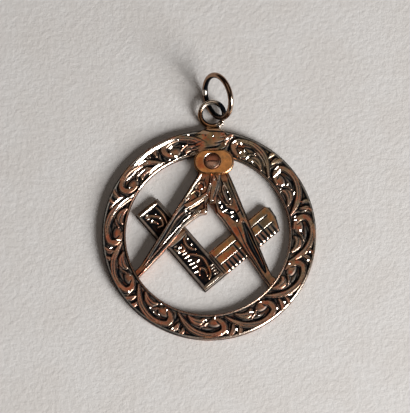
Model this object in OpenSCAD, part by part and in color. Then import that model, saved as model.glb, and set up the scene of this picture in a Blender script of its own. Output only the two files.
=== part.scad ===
// Pendant of rose gold: an engraved ring round the square and compasses, with a bail loop and a jump ring.
// The origin is the middle of the ring on its flat back, with +Y to the bail loop and +Z out of the front.

/* [Ring] */
// Outer diameter of the ring
ring_d = 28; // [27:0.1:29]
// Diameter of the opening
opening_d = 21.4; // [21:0.1:21.8]
// How far the opening sits left of the middle
opening_shift = 0.2; // [0:0.05:0.3]
// Thickness of the ring
ring_t = 1.1; // [1:0.05:1.3]
// Width of the plain rim at the outer edge
outer_rim = 0.35; // [0.25:0.05:0.5]
// Width of the plain rim round the opening
inner_rim = 0.4; // [0.3:0.05:0.5]
// Depth of the ground between the scrolls
ground_depth = 0.2; // [0.1:0.05:0.3]
// Bevel on the ring's edges
ring_bevel = 0.12; // [0.05:0.01:0.2]

/* [Bail loop] */
// Middle of the loop, right of the ring's middle
bail_x = 0.4; // [0:0.1:0.6]
// Inside diameter of the loop
bail_bore_d = 2.48; // [2.3:0.02:2.7]
// Wire of the loop
bail_wire_d = 0.66; // [0.5:0.02:0.8]
// How far the loop is bent up out of the ring's plane, in degrees
bail_lift = 12; // [10:1:14]

/* [Compasses] */
// Height of the legs' ridges above the back
leg_top = 1.4; // [1.3:0.05:1.5]
// Drop of the bevels along the legs
leg_drop = 0.28; // [0.1:0.02:0.3]
// Length of the oval head
head_l = 5.25; // [5:0.05:5.4]
// Width of the oval head
head_w = 3.3; // [3.1:0.05:3.4]
// Height of the head above the back
head_top = 1.8; // [1.75:0.05:2]

/* [Square] */
// Width of each arm
arm_w = 3.65; // [3.5:0.05:3.8]
// Length of the engraved arm along its outer edge
scroll_arm_l = 13.65; // [13.4:0.05:13.8]
// Length of the ruled arm along its outer edge
ruler_arm_l = 12.8; // [12.6:0.05:13]
// Height of the square above the back
square_top = 0.85; // [0.8:0.05:0.9]
// Distance between two marks of the ruler
mark_pitch = 0.58; // [0.5:0.02:0.7]

/* [Screw] */
// Diameter of the screw's head
screw_head_d = 2.1; // [2:0.05:2.2]
// Diameter of the screw's shank
screw_d = 0.8; // [0.7:0.05:0.9]

/* [Jump ring] */
// Inside diameter of the jump ring
jump_bore_d = 4.96; // [4.9:0.02:5.02]
// Wire of the jump ring
jump_wire_d = 0.72; // [0.68:0.02:0.74]
// Lean of the jump ring from flat, in degrees
jump_lean = 60; // [58:1:61]

/* [Hidden] */

rose_gold = [0.76, 0.50, 0.34];
dull_gold = [0.62, 0.42, 0.27];
fit_gap = 0.03;
bore_gap = 0.02;
cut = 1;
round_fn = 180;
wire_fn = 32;

ring_r = ring_d / 2;
opening_r = opening_d / 2;
opening_at = [-opening_shift, 0];
ground_z = ring_t - ground_depth;
back_z = 0.1;

// The plain neck is left between these angles, and the scrolls fill the rest of the ring
neck_from = 81;
neck_to = 98;
neck_foot_w = 3.1;
neck_tip_w = 1.5;
neck_tip_y = 14.8;
neck_t = 0.85;

// Angle of the ball that ends each scroll, as the engraver spaced them by eye
ball_angles = [113, 147, 180, 210, 241, 274, 306, 337, 366, 399, 430];
ball_r = 0.5;
ball_across = 0.3;
ball_turn = -1;
// Columns: degrees from the ball, place across the ground from its inner edge, half width
scroll_stem = [
    [-20, 0.22, 0.05],
    [-12, 0.68, 0.16],
    [-4, 0.86, 0.19],
    [2, 0.80, 0.19],
    [5, 0.54, 0.16],
    [3.4, 0.22, 0.10],
    [0.5, 0.10, 0.05]
];
scroll_leaf = [
    [-16, 0.14, 0.04],
    [-12, 0.30, 0.26],
    [-8, 0.34, 0.18],
    [-5, 0.30, 0.05]
];
scroll_spur = [
    [7, 0.62, 0.04],
    [9, 0.80, 0.10],
    [13, 0.92, 0.04]
];
curve_steps = 4;

bail_r = (bail_bore_d + bail_wire_d) / 2;
bail_foot = [bail_x, 14.7, 0.55];

screw_at = [0.4, 9.7];
lug_r = 0.9;
lug_l = 2.3;
head_at = [0.62, 9.62];
head_bevel = 0.2;
head_z = ring_t + fit_gap;
sink_r = screw_head_d / 2 + 0.14;
sink_z = head_top - 0.34;
shoulder_top_y = 8.74;

// The legs' bevelled edges, seen from the front, each with the metal on its left
left_outer = [[-1.6, 7.85], [-9.0, -4.25], [-9.9, -5.1]];
left_inner = [
    [-9.25, -5.8], [-6.3, -2.7], [-4.85, -1.1], [-3.4, 1.05], [-2.5, 2.05], [-1.35, 2.75]
];
right_inner = [[0.9, 2.95], [1.7, 2.05], [5.35, -3.3], [8.1, -7.4]];
right_outer = [[8.2, -5.5], [7.85, -4.8], [3.0, 7.3], [2.5, 8.4]];
left_leg = concat(
    [[0.55, shoulder_top_y], [-1.3, shoulder_top_y]], left_outer, left_inner,
    [[-0.3, 2.85], [0, 4.2], [0.5, 7.6]]
);
right_leg = concat(
    [[0.3, shoulder_top_y], [-0.1, 4.2], [0.65, 4.2]], right_inner,
    [[9.2, -6.1]], right_outer, [[2.3, shoulder_top_y]]
);
bevel_w = 0.42;
right_leg_step = 0.1;
// The tips slope down to the ring from these lines across the legs' ends
left_tip = [[-10.2, -5.0], [-9.1, -7.0]];
right_tip = [[7.4, -8.0], [9.6, -6.0]];
tip_slope_l = 2.6;
panel_depth = 0.1;
left_panel = [[-0.35, 7.4], [-1.5, 7.1], [-3.55, 3.75], [-2.4, 4.15], [-0.75, 5.4]];
right_panel = [[1.75, 7.1], [1.15, 5.6], [1.35, 4.4], [2.15, 3.3], [2.85, 4.3], [2.3, 6.2]];
left_leg_leaf = [[-3.0, 4.0, 0.05], [-2.1, 4.9, 0.2], [-1.5, 5.8, 0.22], [-0.8, 6.8, 0.06]];
right_leg_leaf = [[2.0, 3.6, 0.05], [1.75, 4.6, 0.2], [1.9, 5.6, 0.18], [1.8, 6.6, 0.05]];

// The square's own frame has its outer corner at the origin, the ruled arm on +X and the engraved arm on +Y
square_at = [-0.5, -7.6];
square_turn = 40.5;
// The ruled arm's end leans outwards and is rounded off at its top corner
ruler_end = [[0, 0], [0.75, 1.6], [0.95, 3.1], [0.4, arm_w]];
ruler_reach = ruler_arm_l + 1;
// The engraved arm is stepped sideways by this much where it passes behind the leg
arm_jog = 0.3;
jog_from = 7.4;
jog_to = 8.6;
groove_w = 0.13;
groove_depth = 0.12;
long_lines = [1.4, 2.55];
border_w = 0.42;
// Columns: place along the arm, place across it, half width
arm_scrolls = [
    [[1.0, 0.8, 0.05], [2.2, 1.3, 0.2], [3.2, 2.4, 0.22], [2.5, 3.0, 0.1], [1.9, 2.5, 0.05]],
    [[3.6, 0.7, 0.05], [4.7, 1.5, 0.22], [5.2, 2.5, 0.2], [4.4, 2.9, 0.1], [3.9, 2.3, 0.05]],
    [[5.8, 0.8, 0.05], [6.9, 1.5, 0.22], [7.4, 2.6, 0.2], [6.6, 2.9, 0.1], [6.1, 2.4, 0.05]],
    [[8.6, 0.8, 0.05], [10.4, 1.1, 0.2], [12.2, 1.4, 0.24], [12.4, 2.5, 0.2], [11.2, 2.5, 0.05]]
];

jump_wire_r = jump_wire_d / 2;
jump_r = jump_bore_d / 2 + jump_wire_r;
jump_turn = 202;
jump_at = [1.16, 18.16, jump_r * sin(jump_lean) + jump_wire_r];

function mix(a, b, t) = a + (b - a) * t;

// Edges of the sunk ground, measured from the ring's middle along an angle
function ground_inner(angle) =
    let (r = opening_r + inner_rim, side = opening_shift * sin(angle))
    sqrt(r * r - side * side) - opening_shift * cos(angle);
function ground_outer() = ring_r - outer_rim;

// A place on the ground, from an angle and a share of the way across it
function on_ground(angle, across) =
    mix(ground_inner(angle), ground_outer(), across) * [cos(angle), sin(angle)];

// A smooth curve through the rows of a table
function between(a, b, c, d, t) =
    0.5 * (2 * b + (c - a) * t + (2 * a - 5 * b + 4 * c - d) * t * t
    + (3 * b - a - 3 * c + d) * t * t * t);
function smooth(rows) =
    let (last = len(rows) - 1)
    concat(
        [for (i = [0 : last - 1], s = [0 : curve_steps - 1])
            between(rows[max(i - 1, 0)], rows[i], rows[i + 1], rows[min(i + 2, last)], s / curve_steps)],
        [rows[last]]
    );
function beside(path, i, hand) =
    let (
        ahead = path[min(i + 1, len(path) - 1)] - path[max(i - 1, 0)],
        out = hand * path[i][2] / norm([ahead[0], ahead[1]])
    )
    [path[i][0] - out * ahead[1], path[i][1] + out * ahead[0]];

// A stroke of the engraver's relief, from rows of x, y and half width
module stroke(rows) {
    path = smooth(rows);
    last = len(path) - 1;
    polygon(concat(
        [for (i = [0 : last]) beside(path, i, 1)],
        [for (i = [last : -1 : 0]) beside(path, i, -1)]
    ));
}

module ring_stroke(rows, ball_angle) {
    stroke([for (row = rows)
        let (at = on_ground(ball_angle + row[0], row[1]))
        [at[0], at[1], row[2]]]);
}

module scroll_unit(ball_angle) {
    linear_extrude(ground_depth) {
        ring_stroke(scroll_stem, ball_angle);
        ring_stroke(scroll_leaf, ball_angle);
        ring_stroke(scroll_spur, ball_angle);
    }
    translate(on_ground(ball_angle + ball_turn, ball_across))
        cylinder(h = ground_depth, r = ball_r, $fn = 48);
}

module opening(r, bottom, top) {
    translate([opening_at[0], opening_at[1], bottom])
        cylinder(h = top - bottom, r = r, $fn = round_fn);
}

module neck_sector(h) {
    reach = 2 * ring_r;
    linear_extrude(h)
        polygon([
            [0, 0],
            reach * [cos(neck_from), sin(neck_from)],
            reach * [cos(neck_to), sin(neck_to)]
        ]);
}

module ring_blank() {
    difference() {
        union() {
            cylinder(h = ring_bevel, r1 = ring_r - ring_bevel, r2 = ring_r, $fn = round_fn);
            translate([0, 0, ring_bevel])
                cylinder(h = ring_t - 2 * ring_bevel, r = ring_r, $fn = round_fn);
            translate([0, 0, ring_t - ring_bevel])
                cylinder(h = ring_bevel, r1 = ring_r, r2 = ring_r - ring_bevel, $fn = round_fn);
        }
        opening(opening_r, -cut, ring_t + cut);
    }
}

module sunk_ground() {
    translate([0, 0, ground_z])
        difference() {
            cylinder(h = cut, r = ground_outer(), $fn = round_fn);
            opening(opening_r + inner_rim, -cut, 2 * cut);
            translate([0, 0, -cut]) neck_sector(3 * cut);
        }
}

module bail_loop() {
    translate(bail_foot)
        rotate([bail_lift, 0, 0])
            translate([0, bail_r, 0])
                rotate_extrude($fn = round_fn)
                    translate([bail_r, 0]) circle(d = bail_wire_d, $fn = wire_fn);
}

// The neck widens from the bail loop down to the ring, which it overlaps
module bail_foot_block() {
    foot_y = 13.4;
    shoulder_y = 13.8;
    waist_y = 14.2;
    waist_w = mix(neck_foot_w, neck_tip_w, 0.75);
    translate([bail_x, 0, back_z])
        linear_extrude(neck_t)
            polygon([
                [-neck_foot_w / 2, foot_y], [neck_foot_w / 2, foot_y],
                [neck_foot_w / 2, shoulder_y], [waist_w / 2, waist_y], [neck_tip_w / 2, neck_tip_y],
                [-neck_tip_w / 2, neck_tip_y], [-waist_w / 2, waist_y], [-neck_foot_w / 2, shoulder_y]
            ]);
}

// Hidden tongue below the head of the compasses, which the screw goes into
module screw_lug() {
    translate([screw_at[0], screw_at[1], 0]) {
        cylinder(h = ring_t, r = lug_r, $fn = 48);
        translate([-lug_r, 0, 0]) cube([2 * lug_r, lug_l, ring_t]);
    }
}

module screw_bore(bottom, top) {
    translate([screw_at[0], screw_at[1], bottom])
        cylinder(h = top - bottom, d = screw_d + 2 * bore_gap, $fn = 48);
}

module ring_frame() {
    color(rose_gold)
        difference() {
            union() {
                difference() {
                    ring_blank();
                    sunk_ground();
                }
                for (angle = ball_angles)
                    translate([0, 0, ground_z]) scroll_unit(angle);
                bail_foot_block();
                bail_loop();
                screw_lug();
            }
            screw_bore(-cut, ring_t + cut);
        }
}

// Takes the top corner off along the edge from p to q, which has the metal on its left
module bevel(p, q, run, drop, top) {
    along = q - p;
    slope = atan(drop / run);
    margin = 0.3;
    lap = 0.08;
    translate([p[0], p[1], top - drop])
        rotate([0, 0, atan2(along[1], along[0])])
            rotate([slope, 0, 0])
                translate([-lap, -margin, 0])
                    cube([norm(along) + 2 * lap, margin + norm([run, drop]) + margin, cut]);
}

module bevels(edge, top) {
    for (i = [0 : len(edge) - 2])
        bevel(edge[i], edge[i + 1], bevel_w, leg_drop, top);
}

module leg(outline, top) {
    translate([0, 0, back_z])
        intersection() {
            linear_extrude(top - back_z) polygon(outline);
            opening(opening_r - fit_gap, -cut, top + cut);
        }
}

module left_leg_solid() {
    difference() {
        leg(left_leg, leg_top);
        bevels(left_outer, leg_top);
        bevels(left_inner, leg_top);
        bevel(left_tip[0], left_tip[1], tip_slope_l, leg_top - ring_t, leg_top);
        translate([0, 0, leg_top - panel_depth]) linear_extrude(cut) polygon(left_panel);
    }
    translate([0, 0, leg_top - panel_depth]) linear_extrude(panel_depth) stroke(left_leg_leaf);
}

module right_leg_solid() {
    low_top = leg_top - right_leg_step;
    difference() {
        leg(right_leg, low_top);
        bevels(right_inner, low_top);
        bevels(right_outer, low_top);
        bevel(right_tip[0], right_tip[1], tip_slope_l, low_top - ring_t, low_top);
        translate([0, 0, low_top - panel_depth]) linear_extrude(cut) polygon(right_panel);
    }
    translate([0, 0, low_top - panel_depth]) linear_extrude(panel_depth) stroke(right_leg_leaf);
}

// The head has round ends and a flat stretch between them, with a bevel all the way round its top
module head_blank() {
    r = head_w / 2;
    flat_l = head_l - head_w;
    side_h = head_top - head_z - head_bevel;
    translate([head_at[0], head_at[1], head_z]) {
        for (side = [-1, 1])
            translate([side * flat_l / 2, 0, 0]) {
                cylinder(h = side_h, r = r, $fn = 64);
                translate([0, 0, side_h])
                    cylinder(h = head_bevel, r1 = r, r2 = r - head_bevel, $fn = 64);
            }
        translate([-flat_l / 2, 0, 0])
            rotate([90, 0, 90])
                linear_extrude(flat_l)
                    polygon([
                        [-r, 0], [r, 0], [r, side_h],
                        [r - head_bevel, side_h + head_bevel], [head_bevel - r, side_h + head_bevel],
                        [-r, side_h]
                    ]);
    }
}

module head() {
    difference() {
        head_blank();
        screw_bore(0, head_top + cut);
        translate([screw_at[0], screw_at[1], sink_z]) cylinder(h = cut, r = sink_r, $fn = 48);
    }
}

// Room for the square, which is let into the backs of the legs
module square_laps() {
    on_square() {
        translate([-fit_gap, -fit_gap, -cut])
            cube([ruler_reach, arm_w + 2 * fit_gap, square_top + fit_gap + cut]);
        translate([-fit_gap - arm_jog, -fit_gap, -cut])
            cube([arm_w + arm_jog + 2 * fit_gap, ruler_reach, square_top + fit_gap + cut]);
    }
}

module compasses() {
    color(rose_gold) {
        difference() {
            union() {
                left_leg_solid();
                right_leg_solid();
            }
            square_laps();
        }
        head();
    }
}

module on_square() {
    translate(square_at) rotate([0, 0, square_turn]) children();
}

module groove(p, q) {
    along = q - p;
    translate([p[0], p[1], square_top - groove_depth])
        rotate([0, 0, atan2(along[1], along[0])])
            translate([0, -groove_w / 2, 0]) cube([norm(along), groove_w, cut]);
}

module ruler_marks() {
    count = floor((ruler_arm_l - arm_w) / mark_pitch);
    for (across = long_lines)
        groove([arm_w, across], [ruler_reach, across]);
    for (i = [1 : count]) {
        along = arm_w + i * mark_pitch;
        groove([along, -cut], [along, long_lines[0]]);
        if (i % 3 == 0)
            groove([along, long_lines[0]], [along, long_lines[1]]);
    }
}

// The engraved arm's sunk panel with its raised scrolls
module scroll_panel() {
    difference() {
        for (part = [[0, border_w, jog_from], [-arm_jog, jog_to + 1, scroll_arm_l - border_w]])
            translate([border_w + part[0], part[1], square_top - panel_depth])
                cube([arm_w - 2 * border_w, part[2] - part[1], cut]);
        translate([0, 0, square_top - panel_depth])
            linear_extrude(panel_depth)
                for (rows = arm_scrolls)
                    stroke([for (row = rows) [arm_w - row[1], row[0], row[2]]]);
    }
}

module square_arms() {
    color(dull_gold)
        on_square()
            difference() {
                translate([0, 0, back_z])
                    linear_extrude(square_top - back_z)
                        polygon(concat(
                            [[0, 0]],
                            [for (p = ruler_end) p + [ruler_arm_l, 0]],
                            [
                                [arm_w, arm_w], [arm_w, jog_from + 1], [arm_w - arm_jog, jog_to + 1],
                                [arm_w - arm_jog, scroll_arm_l - 0.1], [-arm_jog, scroll_arm_l],
                                [-arm_jog, jog_to], [0, jog_from]
                            ]
                        ));
                ruler_marks();
                scroll_panel();
                groove([arm_w, 0], [arm_w, arm_w]);
            }
}

module pivot_screw() {
    slot_w = 0.28;
    slot_depth = 0.22;
    seat_z = sink_z + fit_gap;
    shank_in_head = 0.1;
    dome_top = head_top + 0.14;
    dome_r = 4;
    color(rose_gold)
        translate([screw_at[0], screw_at[1], 0]) {
            translate([0, 0, back_z])
                cylinder(h = seat_z - back_z + shank_in_head, d = screw_d, $fn = 48);
            difference() {
                intersection() {
                    translate([0, 0, seat_z]) cylinder(h = cut, d = screw_head_d, $fn = 48);
                    translate([0, 0, dome_top - dome_r]) sphere(r = dome_r, $fn = 96);
                }
                translate([-screw_head_d, -slot_w / 2, dome_top - slot_depth])
                    cube([2 * screw_head_d, slot_w, cut]);
            }
        }
}

module jump_ring() {
    color(dull_gold)
        translate(jump_at)
            rotate([0, jump_lean, jump_turn])
                rotate_extrude($fn = round_fn)
                    translate([jump_r, 0]) circle(d = jump_wire_d, $fn = wire_fn);
}

ring_frame();
compasses();
square_arms();  // square
pivot_screw();
jump_ring();
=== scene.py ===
"""Engraved pendant: a ring round the square and compasses, with a bail loop and a jump ring.

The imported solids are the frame. Each operator makes one piece, or a group of like pieces, in place of its
solid.
"""

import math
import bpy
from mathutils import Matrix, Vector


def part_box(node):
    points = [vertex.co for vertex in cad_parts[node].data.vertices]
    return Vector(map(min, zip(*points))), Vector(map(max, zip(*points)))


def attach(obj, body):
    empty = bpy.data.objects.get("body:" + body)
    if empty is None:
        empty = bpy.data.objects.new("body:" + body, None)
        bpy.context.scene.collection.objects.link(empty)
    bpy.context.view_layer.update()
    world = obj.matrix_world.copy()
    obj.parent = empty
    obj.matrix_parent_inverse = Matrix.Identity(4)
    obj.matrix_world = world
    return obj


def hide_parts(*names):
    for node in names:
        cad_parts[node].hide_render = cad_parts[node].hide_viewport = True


bl_info = {
    "name": "Square and compasses pendant",
    "version": (1, 0, 0),
    "blender": (4, 5, 0),
    "location": "View3D > Sidebar > Pendant",
    "description": "Models an engraved rose gold pendant round its packed solids, with its studio",
    "category": "Add Mesh",
}

from collections import namedtuple

import bmesh
import bpy
import numpy as np
from bpy.props import FloatProperty, FloatVectorProperty, IntProperty, PointerProperty
from bpy.types import Operator, Panel, PropertyGroup
from mathutils import Matrix, Vector

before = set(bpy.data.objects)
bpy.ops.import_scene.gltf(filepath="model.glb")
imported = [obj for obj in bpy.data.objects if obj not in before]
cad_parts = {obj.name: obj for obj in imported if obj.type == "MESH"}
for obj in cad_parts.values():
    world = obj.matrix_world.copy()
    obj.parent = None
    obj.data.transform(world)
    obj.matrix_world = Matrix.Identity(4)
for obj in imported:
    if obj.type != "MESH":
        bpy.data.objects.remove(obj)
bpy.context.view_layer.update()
MM = 0.001

# Gap kept between neighbouring pieces, and round the screw in its bore, in millimetres
FIT_GAP = 0.03
BORE_GAP = 0.02
# Slopes of a graver's cut and of a bright facet, and the way the facets face, in degrees
CUT_STEEPNESS = 0.66
FACET_STEEPNESS = 0.62
FACET_AZIMUTH = -50.0
# Share of a cut's half width that its wall facing the light takes, and its wall facing away
LEAN_NEAR = 0.75
LEAN_FAR = 1.3
# Reach of a facet and width of its soft edge, as shares of its half sizes
FACET_REACH = 1.14
FACET_EDGE = 0.28
# Deepest that a bright stroke is sunk, and width of the wall of painted shade beside it, in millimetres
FLASH_SINK = 0.08
FLASH_WALL = 0.1
# How bright the painted highlights on the shading cuts of a hatch are, and how steep the cuts are
HATCH_GLEAM = 0.9
HATCH_STEEPNESS = 0.58
# Depth of a hollow that is soiled all over, and height of a crest that is rubbed clean, in millimetres
SOILED_DEPTH = 0.04
RUBBED_HEIGHT = 0.025
# How dark the sides and backs are, and how much more painted shade the upper half of the ring's sides gets
SIDE_DARKNESS = 0.5
RING_SIDE_SHADE = 0.35
# Levels of the rows down a bar's sides, from its face to its back, and the columns of its back
SIDE_LEVELS = (0.35, 0.7)
BACK_COLUMNS = 10


def box_mm(node):
    """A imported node's lowest and highest corners in millimetres."""
    low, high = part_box(node)
    return low / MM, high / MM


# Tables of the engraving, in millimetres and degrees

# Balls that end the scrolls, round the ring
BALL_ANGLES = (113, 147, 180, 210, 241, 274, 306, 337, 366, 399, 430)
# Columns: degrees from the ball, place across the ground from its inner edge, half width
STEM = (
    (-25, 0.04, 0.08), (-20, 0.38, 0.24), (-15, 0.68, 0.3), (-10, 0.85, 0.3), (-5, 0.93, 0.27),
    (0, 0.9, 0.27), (3.8, 0.78, 0.3), (5.0, 0.58, 0.34), (4.4, 0.36, 0.3), (2.0, 0.16, 0.2),
    (-1.5, 0.06, 0.07),
)
LEAF = ((-18, 0.04, 0.1), (-14, 0.24, 0.32), (-10.5, 0.28, 0.38), (-7.6, 0.12, 0.14))
RIB = ((-9.5, 0.5, 0.04), (-7, 0.42, 0.09), (-5, 0.28, 0.06))
SPUR = ((7.4, 1.04, 0.12), (9.6, 0.84, 0.26), (10.4, 0.56, 0.1))
THORN = ((12.4, 1.06, 0.1), (13.8, 0.92, 0.22), (13.8, 0.72, 0.06))
UNIT_RIDGES = (STEM, LEAF, RIB, SPUR, THORN)
# Cuts of each scroll: along its stem, its leaf, the leaf's inner edge and its spur, two between leaf and
# stem, one behind the curl and one before the spur
UNIT_CUTS = (
    ((-21, 0.32, 0.03), (-15, 0.68, 0.08), (-9, 0.88, 0.09), (-4, 0.95, 0.07), (1.5, 0.9, 0.03)),
    ((-17, 0.16, 0.03), (-12.5, 0.26, 0.1), (-8.5, 0.28, 0.1), (-6, 0.14, 0.03)),
    ((-14, 0.12, 0.02), (-11, 0.14, 0.07), (-8.6, 0.1, 0.03)),
    ((9.4, 1.04, 0.06), (10.2, 0.86, 0.09), (10.6, 0.66, 0.03)),
    ((-15, 0.44, 0.03), (-11, 0.56, 0.09), (-7, 0.6, 0.03)),
    ((-11, 0.42, 0.03), (-7.5, 0.48, 0.08), (-4.5, 0.44, 0.03)),
    ((8.2, 0.5, 0.03), (8.6, 0.34, 0.09), (8.0, 0.16, 0.03)),
    ((5.9, 0.98, 0.03), (7.2, 0.86, 0.1), (8.0, 0.7, 0.03)),
)
# Black pits and scores of each scroll: in the ball, under the curl, beside the leaf, behind the curl and
# along the stem's outer side
UNIT_SCORES = (
    ((2.2, 0.4, 0.04), (1.4, 0.3, 0.13), (0.6, 0.2, 0.04)),
    ((-9.5, 0.6, 0.06), (-5.5, 0.68, 0.2), (-1.5, 0.64, 0.07)),
    ((-7.4, 0.3, 0.04), (-6.2, 0.14, 0.12), (-5.2, 0.04, 0.05)),
    ((7.6, 0.6, 0.04), (7.8, 0.3, 0.2), (7.0, 0.1, 0.1)),
    ((-22, 0.46, 0.03), (-17, 0.76, 0.07), (-12, 0.96, 0.07), (-8, 1.02, 0.03)),
)
# The ball: degrees from its line, place across the ground, half width across and half length along
BALL = (-0.6, 0.28, 0.6, 0.9)
# How far the scrolled ground stays inside the opening's edge and the outer edge
SCROLL_MARGINS = (0.4, 0.33)
# How far the ridges stand below the face, how dark the ground's tarnish is, and how dark the hem's painted
# shade is
RIDGE_DROP = 0.01
GROUND_SOIL = 0.7
HEM_SHADE = 0.95
# Width of the lip by the opening and of the rim, with the ground between them, each with its soft edge
LIP_W = (0.2, 0.1)
RIM_W = (0.16, 0.2)
# The groove from the opening outwards, and the hem of painted shade from the outer edge inwards: their
# start and end
GROOVE_SPAN = ((0.2, 0.08), (0.42, 0.12))
HEM_SPAN = ((0.13, 0.06), (0.36, 0.08))
# Depth of the groove, then width and steepness of the outer margin's slope
GROOVE_DEPTH = 0.08
MARGIN_SLOPE = (0.2, 0.62)
# Soft ends of the plain neck, the middle of the less soiled ground, and of the bright cuts, in radians
NECK_SOFT = 0.16
LIGHT_SOIL_AT = math.radians(62)
BRIGHT_CUTS_AT = math.radians(125)
# Painted highlights on the ring: how bright along its opening on the right, and along its outer edge on the
# side of the light
LIP_HIGHLIGHT = 0.2
RIM_HIGHLIGHT = 0.6
# Reach and soft edge of these two, and of the margin of painted shade along the rest of the outer edge
LIP_LIGHT_SPAN = (0.17, 0.05)
RIM_LIGHT_SPAN = (0.15, 0.05)
SHADED_MARGIN = (0.26, 0.08)
# Dark scores where the plain neck meets the scrolls. Columns: degrees, radius, half width
NECK_SCORES = (
    ((94, 12.65, 0.04), (99, 12.4, 0.12), (104, 12.15, 0.05)),
    ((95, 12.1, 0.04), (99.5, 11.9, 0.14), (103, 11.6, 0.05)),
    ((91.4, 13.75, 0.08), (92, 13.5, 0.15), (92.3, 13.25, 0.06)),
    ((96, 13.62, 0.05), (99, 13.5, 0.11), (102, 13.4, 0.04)),
    ((83, 12.25, 0.05), (85.5, 11.9, 0.2), (89.5, 11.75, 0.17), (93, 11.6, 0.06)),
    ((80.5, 13.0, 0.05), (83.5, 12.55, 0.15), (87, 12.3, 0.05)),
    ((79, 12.2, 0.05), (81, 11.7, 0.15), (84, 11.4, 0.05)),
    ((96.5, 11.6, 0.04), (99, 11.35, 0.13), (102, 11.3, 0.04)),
    ((80, 13.6, 0.05), (82, 13.3, 0.12), (84, 13.1, 0.04)),
)

# Strokes cut bright on the ring, each with a painted highlight and a wall of painted shade. Columns:
# degrees, radius, half width
RING_FLASHES = (
    ((108, 13.52, 0.1), (113, 13.5, 0.2), (124, 13.5, 0.2), (134, 13.46, 0.18), (139, 13.3, 0.05)),
    ((113, 10.82, 0.05), (125, 10.8, 0.08), (140, 10.85, 0.08), (147, 10.95, 0.04)),
    ((121.5, 11.22, 0.1), (127, 11.32, 0.3), (134, 11.2, 0.12)),
    ((130, 12.95, 0.1), (133, 13.08, 0.15), (135.5, 13.2, 0.05)),
    ((133, 12.62, 0.04), (139, 12.78, 0.1), (146, 12.95, 0.05)),
    ((132, 12.05, 0.04), (136, 12.12, 0.09), (140, 12.2, 0.04)),
    ((155.5, 12.3, 0.05), (158, 12.65, 0.12), (161, 13.0, 0.11), (164.5, 13.35, 0.05)),
    ((149, 11.1, 0.04), (153, 11.3, 0.1), (156, 11.75, 0.12), (160, 12.15, 0.13), (164, 12.5, 0.08),
     (168, 12.8, 0.04)),
    ((111, 12.7, 0.08), (112.5, 12.75, 0.24), (114.5, 12.65, 0.08)),
    ((43, 12.85, 0.06), (42.4, 12.3, 0.13), (42, 11.7, 0.12), (42.4, 11.3, 0.04)),
    ((45.6, 13.0, 0.05), (45.2, 12.6, 0.15), (45.4, 12.2, 0.06)),
    ((51, 11.75, 0.03), (55, 12.25, 0.07), (60, 12.75, 0.03)),
    ((72.6, 13.35, 0.05), (74.6, 13.0, 0.14), (76, 12.6, 0.08)),
    ((77, 13.4, 0.05), (79, 13.15, 0.12), (81, 12.8, 0.04)),
    ((98, 11.2, 0.1), (100.5, 11.1, 0.18), (103, 10.95, 0.06)),
    ((105, 11.15, 0.05), (110, 11.0, 0.1), (115.5, 10.95, 0.09)),
)

# Facets cut bright on the ring, with painted highlights. Columns: degrees, radius, half length, half width,
# lean from the radius
RING_FACETS = (
    (268, 11.45, 0.16, 0.11, 60), (274, 11.2, 0.2, 0.14, 0), (277, 13.4, 0.12, 0.1, 0),
    (280.5, 13.25, 0.3, 0.13, 10), (286, 13.2, 0.26, 0.14, 15), (298, 11.75, 0.4, 0.09, 70),
    (306.5, 11.28, 0.14, 0.16, 0), (307, 10.78, 0.1, 0.12, 0), (301, 12.6, 0.22, 0.08, 60),
    (312, 13.3, 0.24, 0.12, -5), (317.5, 13.38, 0.22, 0.14, -5), (323, 13.3, 0.3, 0.07, 50),
    (345, 13.38, 0.2, 0.16, 10), (350, 13.38, 0.2, 0.12, 20), (339.5, 11.22, 0.16, 0.13, -10),
    (2.6, 11.95, 0.2, 0.12, -25), (9.6, 11.45, 0.34, 0.09, -15), (12, 11.5, 0.22, 0.12, 10),
    (14.2, 12.9, 0.5, 0.06, 5), (20, 13.2, 0.1, 0.07, 60), (26.5, 12.45, 0.26, 0.13, 60),
    (33, 12.25, 0.26, 0.1, 40), (34.4, 11.75, 0.3, 0.14, -10), (31.6, 11.0, 0.2, 0.09, 60),
    (33, 11.15, 0.14, 0.13, 30), (60, 11.3, 0.14, 0.13, 40), (64, 11.45, 0.24, 0.15, -35),
    (67.6, 12.15, 0.26, 0.09, 30), (69.5, 11.75, 0.24, 0.11, 10), (71, 12.95, 0.22, 0.1, 20),
    (61, 12.4, 0.12, 0.1, 0), (87.6, 13.22, 0.13, 0.15, 0), (101.6, 13.65, 0.12, 0.15, 60),
    (107.6, 13.35, 0.14, 0.15, 0), (106, 12.35, 0.16, 0.15, 40), (105.5, 11.75, 0.12, 0.1, 0),
    (114.8, 11.95, 0.12, 0.13, 30), (117.2, 11.3, 0.14, 0.14, 30), (112.6, 11.35, 0.24, 0.12, 60),
    (128, 13.05, 0.12, 0.09, 0), (130, 12.55, 0.1, 0.1, 0), (149, 12.15, 0.12, 0.1, 0),
    (183.8, 11.85, 0.42, 0.08, -20), (188, 12.95, 0.26, 0.14, 25), (217, 13.1, 0.34, 0.07, 15),
    (216, 12.95, 0.2, 0.08, 0), (232, 12.42, 0.2, 0.1, 80), (235, 12.6, 0.16, 0.09, 90),
    (238.5, 12.5, 0.2, 0.08, 80), (241.5, 11.5, 0.16, 0.12, 0), (249.3, 13.45, 0.2, 0.12, 5),
    (253, 13.38, 0.16, 0.08, 10), (236, 11.15, 0.22, 0.07, 50), (208, 11.6, 0.2, 0.08, 0),
)

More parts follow.
